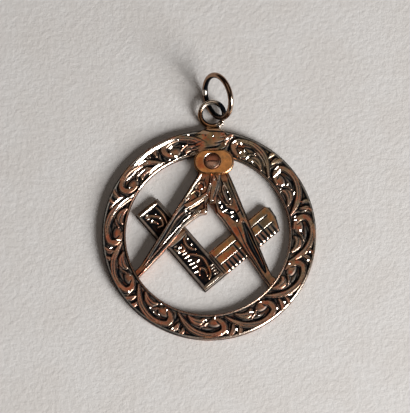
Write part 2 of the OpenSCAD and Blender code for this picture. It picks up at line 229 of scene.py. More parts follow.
# Tones of the tarnish: degrees, radius, reach, and how red (above 0) or olive (below 0)
RING_TONES = (
    (4, 11.5, 0.5, 0.3), (7.5, 12.8, 0.4, 0.7), (11.5, 12.6, 0.4, 0.9), (22, 12.8, 0.6, 0.7),
    (34, 13.0, 0.4, 0.6), (50, 11.8, 0.9, -0.9), (58, 11.6, 0.9, -0.9), (55, 12.8, 0.6, -0.5),
    (49, 12.9, 0.4, 0.4), (62, 12.1, 0.7, -0.8), (84, 12.0, 0.6, -1.2), (90, 11.8, 0.5, -1.2),
    (93, 12.8, 0.8, 0.3), (98.8, 12.45, 0.4, 1.8), (95.8, 12.35, 0.35, 0.9), (102, 12.55, 0.4, 1.6),
    (100, 11.9, 0.3, 0.9), (90, 13.6, 0.8, 0.3), (130, 12.2, 0.4, 0.6), (137, 12.9, 0.5, 0.7),
    (146, 12.0, 0.35, 0.7), (151.5, 12.7, 0.4, 0.5), (167.5, 11.6, 0.4, 0.7), (175, 13.3, 0.3, -0.8),
    (179.5, 12.3, 0.5, 0.7), (182, 13.1, 0.5, 1.0), (197.5, 11.7, 0.5, 1.0), (207.5, 11.9, 0.45, 0.7),
    (215, 12.9, 0.5, 0.6), (227.5, 11.6, 0.5, 0.5), (237, 13.5, 0.5, 0.6), (240, 11.4, 0.45, 0.6),
    (242.5, 13.3, 0.4, 0.6), (259, 11.4, 0.5, 0.5), (265, 13.2, 0.7, 0.4), (273.5, 11.8, 0.55, 1.0),
    (278, 12.6, 0.4, 0.7), (288, 11.7, 0.5, 0.8), (306, 12.2, 0.6, 0.8), (335, 11.7, 0.35, 0.8),
    (338, 12.4, 0.45, -0.8), (342, 12.4, 0.3, 0.7), (350, 12.0, 0.5, -0.4),
)

# Stains on the ring. Columns: degrees, radius, reach, how dark
RING_STAINS = (
    (84, 12.1, 0.55, 0.62), (90.5, 11.85, 0.45, 0.55), (92.3, 13.62, 0.14, 1.0), (98.5, 11.85, 0.3, 0.5),
)

# Rungs across each leg, from the head to the tip. Columns: outer edge x, y, then inner edge x, y
LEFT_RUNGS = (
    (-1.3, 8.74, 0.55, 8.74), (-1.6, 7.85, 0.5, 7.6), (-2.33, 6.66, 0.42, 6.6), (-3.1, 5.4, -0.05, 5.3),
    (-3.6, 4.58, -0.2, 4.2), (-4.3, 3.44, -0.2, 3.4), (-4.66, 2.85, -0.3, 2.85), (-4.8, 2.62, -1.25, 2.7),
    (-5.3, 1.8, -2.3, 1.9), (-5.9, 0.82, -3.35, 0.98), (-7.1, -1.14, -4.85, -1.1),
    (-8.05, -2.7, -6.3, -2.7), (-9.0, -4.25, -7.8, -4.27), (-9.9, -5.1, -9.25, -5.8),
)
RIGHT_RUNGS = (
    (2.3, 8.74, 0.3, 8.74), (2.85, 7.6, 0.25, 7.6), (3.35, 6.43, 0.1, 6.4), (3.95, 4.93, -0.1, 4.9),
    (4.22, 4.26, -0.1, 4.22), (4.3, 4.05, 0.65, 4.15), (4.75, 2.93, 0.9, 2.95), (5.1, 2.05, 1.7, 2.05),
    (6.2, -0.68, 3.55, -0.65), (7.25, -3.3, 5.35, -3.3), (7.85, -4.8, 6.4, -4.85), (8.2, -5.5, 7.0, -5.8),
    (9.2, -6.1, 8.1, -7.4),
)
# Sunk grounds of the legs: an outline, and how soiled the ground is
LEFT_PANELS = (
    (((-0.85, 8.3), (0.3, 8.3), (0.15, 6.9), (-0.3, 5.6), (-1.3, 4.95), (-2.2, 4.4), (-3.3, 3.9),
      (-3.0, 4.5), (-2.5, 5.4), (-1.9, 6.4)), 0.5),
    (((-0.6, 4.7), (-1.5, 4.0), (-2.6, 3.35), (-3.4, 3.0), (-2.7, 2.5), (-1.2, 3.1), (-0.5, 3.4)), 0.6),
    (((-3.3, 3.9), (-2.6, 3.3), (-1.9, 2.8), (-2.5, 2.1), (-3.5, 1.0), (-4.5, -0.2), (-5.5, -1.4),
      (-6.7, -2.8), (-7.8, -4.0), (-8.1, -3.8), (-7.3, -2.3), (-6.5, -1.0), (-5.75, 0.3), (-5.1, 1.4),
      (-4.4, 2.6)), 0.8),
)
# Ridges, as strokes. Columns of a stroke: x, y, half width
LEFT_RIDGES = (
    ((0.25, 7.4, 0.05), (0.05, 6.4, 0.1), (-0.3, 5.3, 0.06)),
    ((-1.75, 6.2, 0.05), (-1.3, 6.95, 0.12), (-0.7, 6.85, 0.13), (-0.6, 6.3, 0.05)),
    ((-2.4, 5.4, 0.05), (-1.8, 5.85, 0.13), (-1.25, 5.6, 0.14), (-1.35, 5.1, 0.05)),
)
# Cuts and black scores, as strokes
LEFT_CUTS = (
    ((-1.9, 6.4, 0.06), (-2.15, 6.0, 0.16), (-2.8, 5.1, 0.14), (-3.3, 4.3, 0.06)),
    ((0.55, 7.2, 0.05), (0.3, 6.2, 0.14), (0.05, 5.3, 0.15), (-0.3, 4.6, 0.12), (-0.7, 4.0, 0.05)),
    ((-1.6, 3.5, 0.03), (-2.5, 2.85, 0.12), (-3.1, 2.4, 0.04)),
    ((-2.4, 4.95, 0.05), (-2.85, 4.5, 0.14), (-3.3, 4.0, 0.05)),
)
LEFT_SCORES = (
    ((-3.05, 4.5, 0.08), (-3.6, 3.6, 0.15), (-4.1, 2.8, 0.16), (-4.6, 1.95, 0.15), (-5.65, 0.48, 0.15),
     (-6.7, -1.27, 0.14), (-7.8, -3.1, 0.11), (-8.7, -4.4, 0.04)),
    ((-2.2, 2.9, 0.08), (-3.0, 2.5, 0.16), (-3.67, 1.74, 0.17), (-4.1, 1.2, 0.16), (-4.47, 0.77, 0.15),
     (-5.03, 0.19, 0.12), (-5.6, -0.59, 0.08), (-6.2, -1.3, 0.04)),
    ((-1.0, 2.85, 0.06), (-2.06, 2.2, 0.1), (-3.1, 1.3, 0.1), (-3.95, 0.28, 0.1), (-4.89, -0.78, 0.1),
     (-5.84, -1.85, 0.1), (-7.0, -3.2, 0.08), (-8.2, -4.6, 0.04)),
    ((-0.75, 4.35, 0.04), (-1.5, 3.7, 0.1), (-2.3, 3.2, 0.05)),
    ((0.5, 8.0, 0.06), (0.45, 7.2, 0.12), (0.3, 6.6, 0.05)),
    ((-0.5, 7.6, 0.04), (-0.75, 6.9, 0.1), (-0.7, 6.2, 0.04)),
    ((-1.9, 5.6, 0.04), (-1.5, 5.1, 0.12), (-1.0, 5.0, 0.04)),
)
# Bright strokes, with painted highlights and walls of painted shade: how bright, how steep, and the stroke
LEFT_FLASHES = (
    (1.0, 0.6, ((-0.25, 5.26, 0.05), (-0.89, 4.7, 0.06), (-1.48, 4.24, 0.08), (-2.0, 3.9, 0.07),
                (-2.6, 3.58, 0.06), (-3.28, 3.26, 0.03))),
    (0.9, 0.6, ((-1.0, 7.95, 0.04), (-1.35, 7.4, 0.09), (-1.8, 6.75, 0.08), (-2.3, 6.1, 0.04))),
    (0.35, 0.4, ((-3.25, 2.95, 0.04), (-3.95, 2.32, 0.08), (-4.42, 1.74, 0.07), (-4.89, 0.85, 0.05),
                 (-5.75, -0.55, 0.04), (-6.4, -1.5, 0.02))),
    (0.8, 0.58, ((-1.3, 3.2, 0.03), (-1.7, 3.0, 0.08), (-2.06, 2.66, 0.04), (-2.5, 2.44, 0.09),
                 (-2.91, 2.04, 0.04), (-3.3, 1.76, 0.07), (-3.67, 1.22, 0.04), (-4.1, 0.85, 0.06),
                 (-4.52, 0.32, 0.04), (-5.36, -0.6, 0.05), (-6.4, -1.85, 0.03))),
    (0.3, 0.4, ((-6.0, -1.4, 0.04), (-6.8, -2.35, 0.06), (-7.5, -3.2, 0.05), (-8.3, -4.2, 0.02))),
    (0.25, 0.3, ((-3.4, 4.3, 0.03), (-4.0, 3.28, 0.07), (-4.93, 1.83, 0.07), (-5.9, 0.35, 0.07),
                 (-7.16, -1.75, 0.06), (-8.2, -3.5, 0.03))),
    (0.7, 0.55, ((0.2, 6.7, 0.04), (0.02, 6.0, 0.12), (-0.2, 5.5, 0.05))),
)
# Facets, with painted highlights. Columns: x, y, half length, half width, turn
LEFT_FACETS = (
    (-0.95, 6.05, 0.15, 0.11, 60), (-1.3, 3.0, 0.22, 0.14, 20), (-0.5, 2.98, 0.24, 0.08, 25),
    (-3.0, 3.05, 0.14, 0.09, 40),
)
# Tones: x, y, reach, and how red (above 0) or olive (below 0)
LEFT_TONES = (
    (-1.93, 5.15, 0.5, 0.5), (-0.4, 6.8, 0.4, 0.8), (-1.1, 6.7, 0.4, 0.4), (-0.57, 3.67, 0.45, 0.8),
    (-9.3, -5.0, 0.9, 0.8), (-6.1, -1.87, 0.5, 0.7), (-7.2, -0.6, 0.6, 0.6), (-4.2, 0.2, 0.5, 0.5),
    (-2.9, 5.6, 0.4, -0.5),
)
# The same tables for the right leg
RIGHT_PANELS = (
    (((1.45, 8.2), (2.3, 8.2), (2.85, 6.6), (3.6, 4.6), (4.15, 3.2), (3.5, 2.6), (1.3, 3.3), (0.95, 4.2),
      (0.85, 5.2), (1.1, 6.2)), 0.4),
    (((4.15, 1.7), (4.75, 1.6), (5.15, 0.9), (5.6, 0.0), (6.05, -1.1), (6.55, -2.2), (7.0, -3.25),
      (7.42, -4.3), (7.6, -5.1), (7.3, -5.4), (6.75, -4.6), (6.05, -3.25), (5.4, -2.2), (4.85, -1.1),
      (4.6, 0.0), (4.4, 0.9)), 1.0),
    (((1.15, 4.6), (1.75, 4.65), (2.3, 3.75), (3.35, 3.3), (4.05, 2.1), (3.8, 1.45), (3.1, 1.85),
      (2.5, 2.55), (1.75, 2.85), (1.2, 3.7)), 0.85),
)
RIGHT_RIDGES = (
    ((2.05, 7.0, 0.04), (1.75, 6.2, 0.1), (1.9, 5.5, 0.1), (2.15, 4.9, 0.1), (2.4, 4.4, 0.12),
     (2.75, 4.05, 0.06)),
    ((2.05, 7.0, 0.04), (2.25, 6.3, 0.09), (2.6, 5.6, 0.09), (2.9, 4.7, 0.1), (2.75, 4.05, 0.05)),
    ((2.75, 7.3, 0.05), (3.25, 5.9, 0.09), (3.8, 4.6, 0.1), (4.45, 3.1, 0.1), (4.9, 2.1, 0.05)),
    ((1.2, 5.6, 0.04), (1.45, 4.9, 0.1), (1.9, 4.3, 0.08), (2.2, 4.0, 0.04)),
)
RIGHT_FLASHES = (
    (0.8, 0.6, ((1.85, 7.0, 0.03), (2.1, 6.5, 0.08), (2.35, 6.1, 0.03))),
    (0.0, 0.15, ((4.95, 0.7, 0.02), (5.62, -0.9, 0.03), (6.45, -2.6, 0.03), (7.15, -4.2, 0.02))),
)
RIGHT_SCORES = (
    ((4.4, 1.9, 0.06), (4.9, 0.9, 0.26), (5.45, -0.5, 0.34), (6.1, -2.0, 0.34), (6.8, -3.4, 0.26),
     (7.35, -4.8, 0.08)),
    ((1.9, 5.9, 0.04), (2.05, 5.3, 0.12), (2.35, 4.75, 0.12), (2.6, 4.4, 0.04)),
    ((0.6, 8.2, 0.05), (0.95, 7.4, 0.12), (1.2, 6.6, 0.05)),
    ((1.5, 7.6, 0.05), (1.65, 6.6, 0.14), (1.5, 5.6, 0.05)),
    ((3.6, 4.3, 0.05), (4.0, 3.3, 0.14), (4.4, 2.3, 0.05)),
)
RIGHT_CUTS = (
    ((1.35, 7.9, 0.06), (1.15, 6.8, 0.16), (0.85, 5.8, 0.18), (0.6, 5.1, 0.14), (0.5, 4.65, 0.05)),
    ((2.1, 6.4, 0.05), (2.2, 5.6, 0.16), (2.5, 4.9, 0.16), (2.65, 4.4, 0.05)),
    ((2.5, 7.2, 0.05), (2.95, 5.9, 0.13), (3.5, 4.6, 0.14), (4.15, 3.1, 0.14), (4.65, 2.0, 0.05)),
    ((-0.1, 4.55, 0.05), (0.35, 4.38, 0.13), (0.75, 4.5, 0.05)),
    ((3.5, 1.3, 0.04), (4.05, 0.2, 0.1), (4.6, -1.2, 0.1), (5.3, -2.5, 0.09), (6.1, -3.8, 0.08),
     (6.9, -5.2, 0.04)),
    ((1.5, 7.2, 0.03), (1.3, 6.2, 0.1), (1.0, 5.2, 0.04)),
    ((3.1, 6.4, 0.03), (3.35, 5.7, 0.08), (3.7, 4.9, 0.03)),
    ((2.4, 7.6, 0.04), (2.55, 6.9, 0.1), (2.8, 6.2, 0.04)),
)
RIGHT_FACETS = (
    (1.42, 4.3, 0.16, 0.15, 0), (1.66, 3.68, 0.23, 0.13, 80), (2.06, 3.14, 0.42, 0.1, 38),
    (2.98, 2.96, 0.26, 0.12, 15), (3.03, 2.38, 0.22, 0.11, 15), (3.64, 1.8, 0.18, 0.1, 25),
    (2.42, 5.68, 0.15, 0.1, 100), (2.72, 4.72, 0.17, 0.12, 30), (0.36, 4.5, 0.3, 0.08, 5),
    (0.7, 7.3, 0.14, 0.1, 60),
)
RIGHT_TONES = (
    (1.05, 6.5, 0.7, -0.9), (0.24, 5.15, 0.45, 0.7), (0.77, 5.9, 0.3, 0.4), (2.04, 5.1, 0.35, 0.7),
    (0.95, 3.1, 0.5, 0.9), (1.77, 2.4, 0.45, 0.9), (2.6, 1.2, 0.5, 0.7), (3.65, 0.0, 0.7, 1.0),
    (4.4, -1.2, 0.5, 0.7), (5.6, -3.0, 0.5, 0.6), (6.7, -4.6, 0.7, 0.7), (3.0, 5.6, 0.8, -0.6),
    (4.9, 2.4, 0.6, -0.5), (5.4, -1.0, 0.5, -0.9),
)

LEFT_LEG = (LEFT_PANELS, LEFT_RIDGES, LEFT_CUTS, LEFT_SCORES, LEFT_FLASHES, LEFT_FACETS, LEFT_TONES)
RIGHT_LEG = (RIGHT_PANELS, RIGHT_RIDGES, RIGHT_CUTS, RIGHT_SCORES, RIGHT_FLASHES, RIGHT_FACETS, RIGHT_TONES)
# Width and drop of the bevel along the legs' edges, length of the slope at their tips, columns of a face
LEG_BEVEL = (0.26, 0.2)
TIP_SLOPE_L = 2.4
LEG_COLUMNS = 76
# The darkening of the outer edges: its reach and soft edge, and how strong it is
OUTER_EDGE = (0.17, 0.06)
OUTER_EDGE_DARKNESS = 0.85
# The dark band along the inner edges: its start and end, how dark it is, and the y where it stops
INNER_BAND = ((0.08, 0.05), (0.36, 0.06))
INNER_BAND_DARKNESS = 0.8
INNER_BAND_TOP = 2.6
# The painted highlight along them, a thin bright line: its reach, how bright it is by the tips and further
# up, and the y where it stops
INNER_EDGE = (0.1, 0.04)
INNER_EDGE_HIGHLIGHTS = (0.2, 0.55)
INNER_EDGE_TOP = 2.9

# The square's own frame has its outer corner at the origin, the ruled arm on +X and the engraved arm on +Y.
# Width of the arms, a reach past their ends, how far the engraved arm steps out behind the left leg, and
# the columns of the face
ARM_W = 3.65
ARM_REACH = 14
ARM_STEP = 0.3
SQUARE_COLUMNS = 70
# Rungs from the end of the engraved arm round the corner. Columns: outer edge x, y, then inner edge x, y
SQUARE_RUNGS = (
    (-0.3, 13.65, 3.35, 13.55), (-0.3, 8.6, 3.35, 9.6), (0.0, 7.4, 3.65, 8.6), (0.0, 3.65, 3.65, 3.65),
    (0.0, 0.0, 3.65, 3.65), (3.65, 0.0, 3.65, 3.65), (12.8, 0.0, 12.8, 3.65),
)
# Sunk panels of the engraved arm: lowest x, y and highest x, y, then their walls' width and their soil
PANELS = ((0.1, 8.9, 2.9, 13.0), (0.42, 0.72, 3.2, 7.45))
PANEL_WALL = 0.24
PANEL_SOIL = 0.8
# The ruled arm's end leans outwards: place across the arm, and how far the end stands past its line
RULER_END = ((0, 0), (1.6, 0.75), (3.1, 0.95), (3.65, 0.4))
RULER_LINE = 12.8
# Width and drop of the bevel along the square's edges
EDGE_BEVEL = (0.16, 0.09)
# The square's strokes, facets with painted highlights and tones, with the columns of the legs' tables
SQUARE_RIDGES = (
    ((3.0, 7.4, 0.05), (2.5, 7.1, 0.12), (2.2, 6.5, 0.14), (2.3, 5.65, 0.12), (2.75, 5.2, 0.05)),
    ((1.4, 5.3, 0.05), (2.06, 4.8, 0.12), (2.7, 3.75, 0.15), (2.55, 2.6, 0.15), (2.15, 1.5, 0.12),
     (1.5, 1.0, 0.05)),
    ((0.9, 2.2, 0.05), (1.5, 2.83, 0.12), (1.9, 2.3, 0.14), (1.6, 1.5, 0.06)),
    ((0.6, 6.9, 0.05), (0.9, 6.3, 0.12), (1.6, 6.1, 0.12), (1.7, 6.8, 0.05)),
    ((0.5, 12.6, 0.05), (1.2, 12.3, 0.14), (1.9, 11.4, 0.15), (1.6, 10.4, 0.13), (0.9, 10.6, 0.06)),
    ((2.4, 12.8, 0.05), (2.5, 12.0, 0.12), (2.4, 11.0, 0.13), (2.0, 9.8, 0.06)),
    ((0.6, 11.7, 0.05), (0.95, 11.5, 0.14), (1.2, 11.0, 0.05)),
)
SQUARE_CUTS = (
    ((3.42, 3.4, 0.04), (3.42, 2.4, 0.12), (3.42, 0.9, 0.12), (3.42, 0.3, 0.04)),
    ((3.82, 3.62, 0.05), (3.82, 2.4, 0.13), (3.82, 0.9, 0.13), (3.82, 0.05, 0.05)),
    ((3.1, 13.4, 0.05), (3.12, 12.0, 0.12), (3.12, 9.9, 0.05)),
)
# Rows of shading cuts with painted highlights. Columns: first x, y, last x, y, how many, half length, half
# width, turn
SQUARE_HATCHES = (
    (1.25, 5.6, 1.1, 3.4, 5, 0.4, 0.1, -15), (2.95, 2.15, 2.72, 0.95, 4, 0.34, 0.08, -10),
    (0.85, 12.7, 0.65, 12.2, 2, 0.22, 0.09, -10), (2.87, 6.88, 2.74, 5.96, 2, 0.17, 0.1, 40),
    (0.95, 7.1, 0.85, 6.5, 2, 0.2, 0.07, -10),
)
SQUARE_FACETS = (
    (0.9, 2.75, 0.36, 0.12, -20), (1.98, 3.75, 0.3, 0.12, 10), (1.3, 6.6, 0.24, 0.15, -15),
    (0.85, 11.7, 0.22, 0.13, 20), (1.8, 12.1, 0.13, 0.09, 30), (1.9, 11.3, 0.13, 0.09, 30),
    (0.82, 6.16, 0.16, 0.12, 0),
)
SQUARE_TONES = (
    (4.4, 3.2, 0.6, 0.4), (4.6, 2.0, 0.7, 0.5), (6.0, 1.9, 0.7, 0.3), (5.0, 0.7, 0.9, 1.2),
    (6.4, 0.7, 0.8, 1.0), (10.3, 3.0, 1.0, -0.9), (11.9, 2.8, 1.1, -1.0), (13.0, 1.8, 0.9, -1.0),
    (12.0, 1.6, 0.8, -0.8), (10.6, 0.7, 0.8, 0.6), (1.8, 3.2, 0.5, 0.8), (2.3, 2.2, 0.5, 0.6),
    (0.2, 2.5, 0.5, 0.4), (1.4, 6.4, 0.5, 0.5), (3.4, 6.0, 0.5, -0.5), (-0.1, 12.0, 0.5, 0.5),
    (1.4, 11.2, 0.5, 0.5), (2.4, 3.0, 1.2, 0.4), (1.6, 6.0, 1.2, 0.3),
)
# Bright strokes of the square, with painted highlights and walls of painted shade: how bright, how steep,
# and the stroke
SQUARE_FLASHES = (
    (0.25, 0.2, ((0.5, 7.68, 0.06), (1.2, 7.7, 0.2), (2.4, 7.78, 0.2), (3.2, 7.86, 0.06))),
    (0.7, 0.55, ((0.2, 0.3, 0.03), (1.2, 0.3, 0.07), (2.6, 0.32, 0.06), (3.3, 0.34, 0.03))),
    (1.0, 0.6, ((0.0, 13.14, 0.05), (1.0, 13.12, 0.09), (2.2, 13.1, 0.09), (2.7, 13.08, 0.04))),
    (0.8, 0.6, ((4.2, 2.66, 0.02), (5.4, 2.66, 0.05), (7.0, 2.66, 0.05), (8.2, 2.66, 0.03))),
    (0.8, 0.6, ((10.4, 2.66, 0.03), (11.4, 2.66, 0.05), (12.2, 2.66, 0.05), (12.8, 2.66, 0.02))),
)
# Soil of the engraved arm's border, of the ruler's three strips from its marked edge, and where they start
BORDER_SOIL = 0.7
STRIP_SOILS = (0.5, 0.34, 0.0)
RULER_START = 3.7
# The ruler's two long lines: their places across, half width, and where they start and end
LONG_LINES = (1.4, 2.58)
LONG_LINE_W = 0.13
LONG_LINE_SPAN = (3.95, 12.75)
# Its marks: their spacing, half width, and the numbers of those that reach the second line
MARK_PITCH = 0.6
MARK_W = 0.21
CROSS_MARKS = (5, 12)
# The cut along its leaning end
END_CUT = ((13.35, 3.5, 0.06), (13.62, 3.05, 0.12), (13.42, 1.6, 0.12), (12.72, 0.1, 0.08))

# The head: columns and steps of its turned face, width and drop of its crowned edge and of its sink's
# bevel, how far the sink's wall stands inside the screw's diameter, and its tones
HEAD_COLUMNS = 34
HEAD_STEPS = 320
HEAD_CROWN = (0.26, 0.16)
SINK_BEVEL = (0.12, 0.07)
SINK_TRIM = 0.02
HEAD_TONES = (
    (-1.3, 9.9, 0.6, 0.5), (-0.9, 8.9, 0.6, 0.5), (0.6, 8.6, 0.5, 0.5), (2.3, 10.2, 0.6, -0.4),
    (2.6, 9.0, 0.5, 0.3),
)
# The screw: columns and steps of its turned face, how far its side stands inside its diameter, the drops
# from its top to its seat, its side and the edge of its dome, its slot's depth, and the slot's length as a
# share of the diameter
SCREW_COLUMNS = 30
SCREW_STEPS = 160
SCREW_TRIM = 0.05
SCREW_SEAT = 0.45
SCREW_SIDE = 0.2
SCREW_DOME = 0.14
SLOT_DEPTH = 0.1
SLOT_LENGTH = 0.7
# The glint by its edge: its place from the screw's middle, and the square of its reach
GLINT_AT = (0.3, -0.62)
GLINT_SPREAD = 0.012

# Outline of the pad between the bail loop and the ring: x from the loop's foot, and y
PAD_OUTLINE = (
    (-2.3, 13.1), (2.1, 13.1), (1.9, 13.6), (1.3, 13.98), (0.95, 14.25), (0.76, 14.5), (0.55, 14.8),
    (-0.55, 14.8), (-0.76, 14.5), (-0.95, 14.25), (-1.3, 13.98), (-2.0, 13.6),
)
# Heights of the pad at its foot and above it, and how far it drops towards the loop
PAD_HEIGHTS = (1.0, 1.15)
PAD_DROP = 0.45
# Beads of solder on the bail's foot. Columns: x, y, z, radius
SOLDER_BEADS = ((1.8, 15.3, 0.9, 0.22), (1.66, 14.92, 0.82, 0.26), (1.3, 14.62, 0.85, 0.27))


def smooth(rows, steps=6):
    """A smooth curve that passes through every row of a table."""
    rows = np.array(rows, float)
    last = len(rows) - 1
    points = []
    for i in range(last):
        a, b, c, d = rows[max(i - 1, 0)], rows[i], rows[i + 1], rows[min(i + 2, last)]
        for t in np.arange(steps) / steps:
            bend = (2 * a - 5 * b + 4 * c - d) * t**2 + (3 * b - a - 3 * c + d) * t**3
            points.append(0.5 * (2 * b + (c - a) * t + bend))
    return np.array(points + [rows[last]])


def ease(t):
    """0 to 1 with a soft start and end."""
    t = np.clip(t, 0, 1)
    return t * t * (3 - 2 * t)


def within(distance, reach, soft):
    """1 where a distance is under its reach and 0 past it, with a soft edge."""
    return ease((reach - distance) / soft)


def beyond(distance, start, soft):
    """0 where a distance is under its start and 1 past it, with a soft edge."""
    return ease((distance - start) / soft)


def between(distance, start, end):
    """1 from the start to the end of a span and 0 outside. Each is a distance and its soft edge."""
    return beyond(distance, *start) * within(distance, *end)


def mix(a, b, t):
    return a + (b - a) * t


def polar(radius, degrees):
    """A point of the ring by its distance from the middle and its angle."""
    turn = math.radians(degrees)
    return radius * math.cos(turn), radius * math.sin(turn)


class Relief:
    """Heights of an engraved face over flat points, in millimetres, with its tarnish and painted shade, and
    its painted highlights.
    """

    def __init__(self, x, y, z, light=FACET_AZIMUTH):
        self.x, self.y, self.z = x, y, z
        self.shine = np.zeros_like(z)
        self.soil = np.zeros_like(z)
        self.tone = np.zeros_like(z)
        self.lit = math.cos(math.radians(light)), math.sin(math.radians(light))

    def near(self, rows, spare):
        """The points near a stroke, how far off its middle line and on which side, and its half width."""
        path = smooth(rows)
        reach = path[:, 2].max() * LEAN_FAR + spare
        low, high = path[:, :2].min(0) - reach, path[:, :2].max(0) + reach
        inside = (self.x > low[0]) & (self.x < high[0]) & (self.y > low[1]) & (self.y < high[1])
        at = np.flatnonzero(inside)
        x, y = self.x[at], self.y[at]
        off = np.full(len(at), np.inf)
        half = np.zeros(len(at))
        side = np.zeros(len(at))
        for a, b in zip(path[:-1], path[1:]):
            run = b[:2] - a[:2]
            t = np.clip(((x - a[0]) * run[0] + (y - a[1]) * run[1]) / max(run @ run, 1e-9), 0, 1)
            dx, dy = x - a[0] - t * run[0], y - a[1] - t * run[1]
            d = np.hypot(dx, dy)
            closer = d < off
            off = np.where(closer, d, off)
            half = np.where(closer, mix(a[2], b[2], t), half)
            side = np.where(closer, (dx * self.lit[0] + dy * self.lit[1]) / np.maximum(d, 1e-6), side)
        return at, off, side, np.maximum(half, 0.01)

    def ridge(self, rows, top, shoulder=0.12, crown=0.03):
        """Raises a stroke to a rounded ridge."""
        at, off, _, half = self.near(rows, shoulder)
        up = ease((half + shoulder - off) / shoulder)
        height = top - crown * np.clip(off / half, 0, 1) ** 2
        self.z[at] = np.maximum(self.z[at], mix(self.z[at], height, up))
        self.soil[at] *= 1 - up

    def cut(self, rows, steepness=CUT_STEEPNESS, gleam=0.55):
        """Cuts a stroke as a leaning graver does: the wall that faces the light is narrow and gets a
        painted highlight, and the other wall gets painted shade.
        """
        at, off, side, half = self.near(rows, 0)
        wall = half * mix(LEAN_NEAR, LEAN_FAR, ease(side / 2 + 0.5))
        depth = steepness * half * LEAN_NEAR
        down = np.clip(1 - off / wall, 0, 1)
        self.z[at] -= depth * down
        clean = min(gleam * 2, 1)
        # Painted highlight on the wall facing the light, painted shade on the wall facing away; a cut with
        # less gleam is darker all through, and every cut is darker at its bottom
        lit = np.clip(-side * 2, 0, 1) * ease(down * 3) * ease((1 - down) * 3) * clean
        dark = (np.clip(side * 2 + 0.4, 0, 1) + 1 - clean) * ease(down * 2.5)
        dark += np.clip(down * 2.2 - 1.1, 0, 1) * (1 - lit)
        self.shine[at] = np.maximum(self.shine[at] * (1 - dark.clip(0, 1)), lit * gleam)
        self.soil[at] = np.maximum(self.soil[at] * (1 - lit), np.clip(dark, 0, 1))

    def flash(self, rows, gleam=1.0, steepness=FACET_STEEPNESS):
        """Cuts a stroke as one slope that faces the light, with a painted highlight on it and painted shade
        on the wall along its deep side.
        """
        at, off, side, half = self.near(rows, FLASH_WALL)
        if not len(at):
            return
        share = within(off, half + 0.04, 0.05)
        middle = np.median(self.z[at][share > 0.5]) if (share > 0.5).any() else self.z[at].mean()
        deep = np.minimum(steepness * half, FLASH_SINK)
        self.z[at] = mix(self.z[at], middle - steepness * side * off - deep, share)
        self.shine[at] = np.maximum(self.shine[at], share * gleam)
        # Painted shade on the wall on the side away from the light
        wall = between(off, (half - 0.02, 0.03), (half + FLASH_WALL, 0.05)) * np.clip(side * 1.5, 0, 1)
        self.soil[at] = np.maximum(self.soil[at] * (1 - share), wall * 0.9)
        self.shine[at] *= 1 - wall

    def sink(self, outline, depth, soil, wall=0.14):
        """Sinks the ground inside an outline."""
        corners = np.array(outline, float)
        inside = np.zeros(self.x.shape, bool)
        off = np.full(self.x.shape, np.inf)
        for a, b in zip(corners, np.roll(corners, -1, axis=0)):
            run = b - a
            t = np.clip(((self.x - a[0]) * run[0] + (self.y - a[1]) * run[1]) / (run @ run), 0, 1)
            off = np.minimum(off, np.hypot(self.x - a[0] - t * run[0], self.y - a[1] - t * run[1]))
            if a[1] != b[1]:
                crosses = (a[1] > self.y) != (b[1] > self.y)
                inside ^= crosses & (self.x < a[0] + (self.y - a[1]) * run[0] / run[1])
        share = np.where(inside, ease(off / wall), 0)
        self.z -= depth * share
        self.soil = np.maximum(self.soil, soil * share)

    def dome(self, x, y, across, along, turn, top):
        """Raises an oval boss."""
        c, s = math.cos(math.radians(turn)), math.sin(math.radians(turn))
        u = ((self.x - x) * c + (self.y - y) * s) / across
        v = ((self.y - y) * c - (self.x - x) * s) / along
        out = np.hypot(u, v)
        at = np.flatnonzero(out < 1)
        base = self.z[at]
        self.z[at] = np.maximum(base, mix(base, top, np.sqrt(1 - out[at] ** 2) ** 0.8))
        self.soil[at] *= ease(out[at])

    def facet(self, x, y, long, wide, turn, gleam=1.0, steepness=FACET_STEEPNESS):
        """Cuts a small facet that faces the light, with a painted highlight on it."""
        c, s = math.cos(math.radians(turn)), math.sin(math.radians(turn))
        u = ((self.x - x) * c + (self.y - y) * s) / long
        v = ((self.y - y) * c - (self.x - x) * s) / wide
        out = np.hypot(u, v)
        at = np.flatnonzero(out < FACET_REACH)
        if not len(at):
            return
        share = within(out[at], FACET_REACH, FACET_EDGE)
        away = (self.x[at] - x) * self.lit[0] + (self.y[at] - y) * self.lit[1]
        middle = np.median(self.z[at])
        self.z[at] = mix(self.z[at], middle - steepness * away, share)
        self.shine[at] = np.maximum(self.shine[at], share * gleam)
        self.soil[at] *= 1 - share

    def tint(self, x, y, reach, amount):
        """Gives the tarnish round a point a redder tone, or an olive one."""
        near = np.exp(-((self.x - x) ** 2 + (self.y - y) ** 2) / reach**2)
        self.tone += amount * near

    def stain(self, x, y, reach, amount):
        """Darkens the tarnish round a point."""
        near = np.exp(-((self.x - x) ** 2 + (self.y - y) ** 2) / reach**2)
        self.soil = np.maximum(self.soil, amount * near)

    def hatch(self, x0, y0, x1, y1, count, long, wide, turn):
        """A row of shading cuts with painted highlights, with dark metal between."""
        for i in range(count):
            t = i / max(count - 1, 1)
            uneven_long = long * (1 + 0.18 * math.sin(i * 2.3))
            uneven_turn = turn + 5 * math.sin(i * 1.7)
            x, y = mix(x0, x1, t), mix(y0, y1, t)
            self.facet(x, y, uneven_long, wide, uneven_turn, HATCH_GLEAM, HATCH_STEEPNESS)


def blurred(field, size, around):
    """A field on a grid of rows and columns, averaged over a square of the given half size."""
    for axis in (0, 1):
        total = np.zeros_like(field)
        last = field.shape[axis]
        for k in range(-size, size + 1):
            if axis == 0 and around:
                total += np.roll(field, k, 0)
            else:
                total += np.take(field, np.clip(np.arange(last) + k, 0, last - 1), axis)
        field = total / (2 * size + 1)
    return field


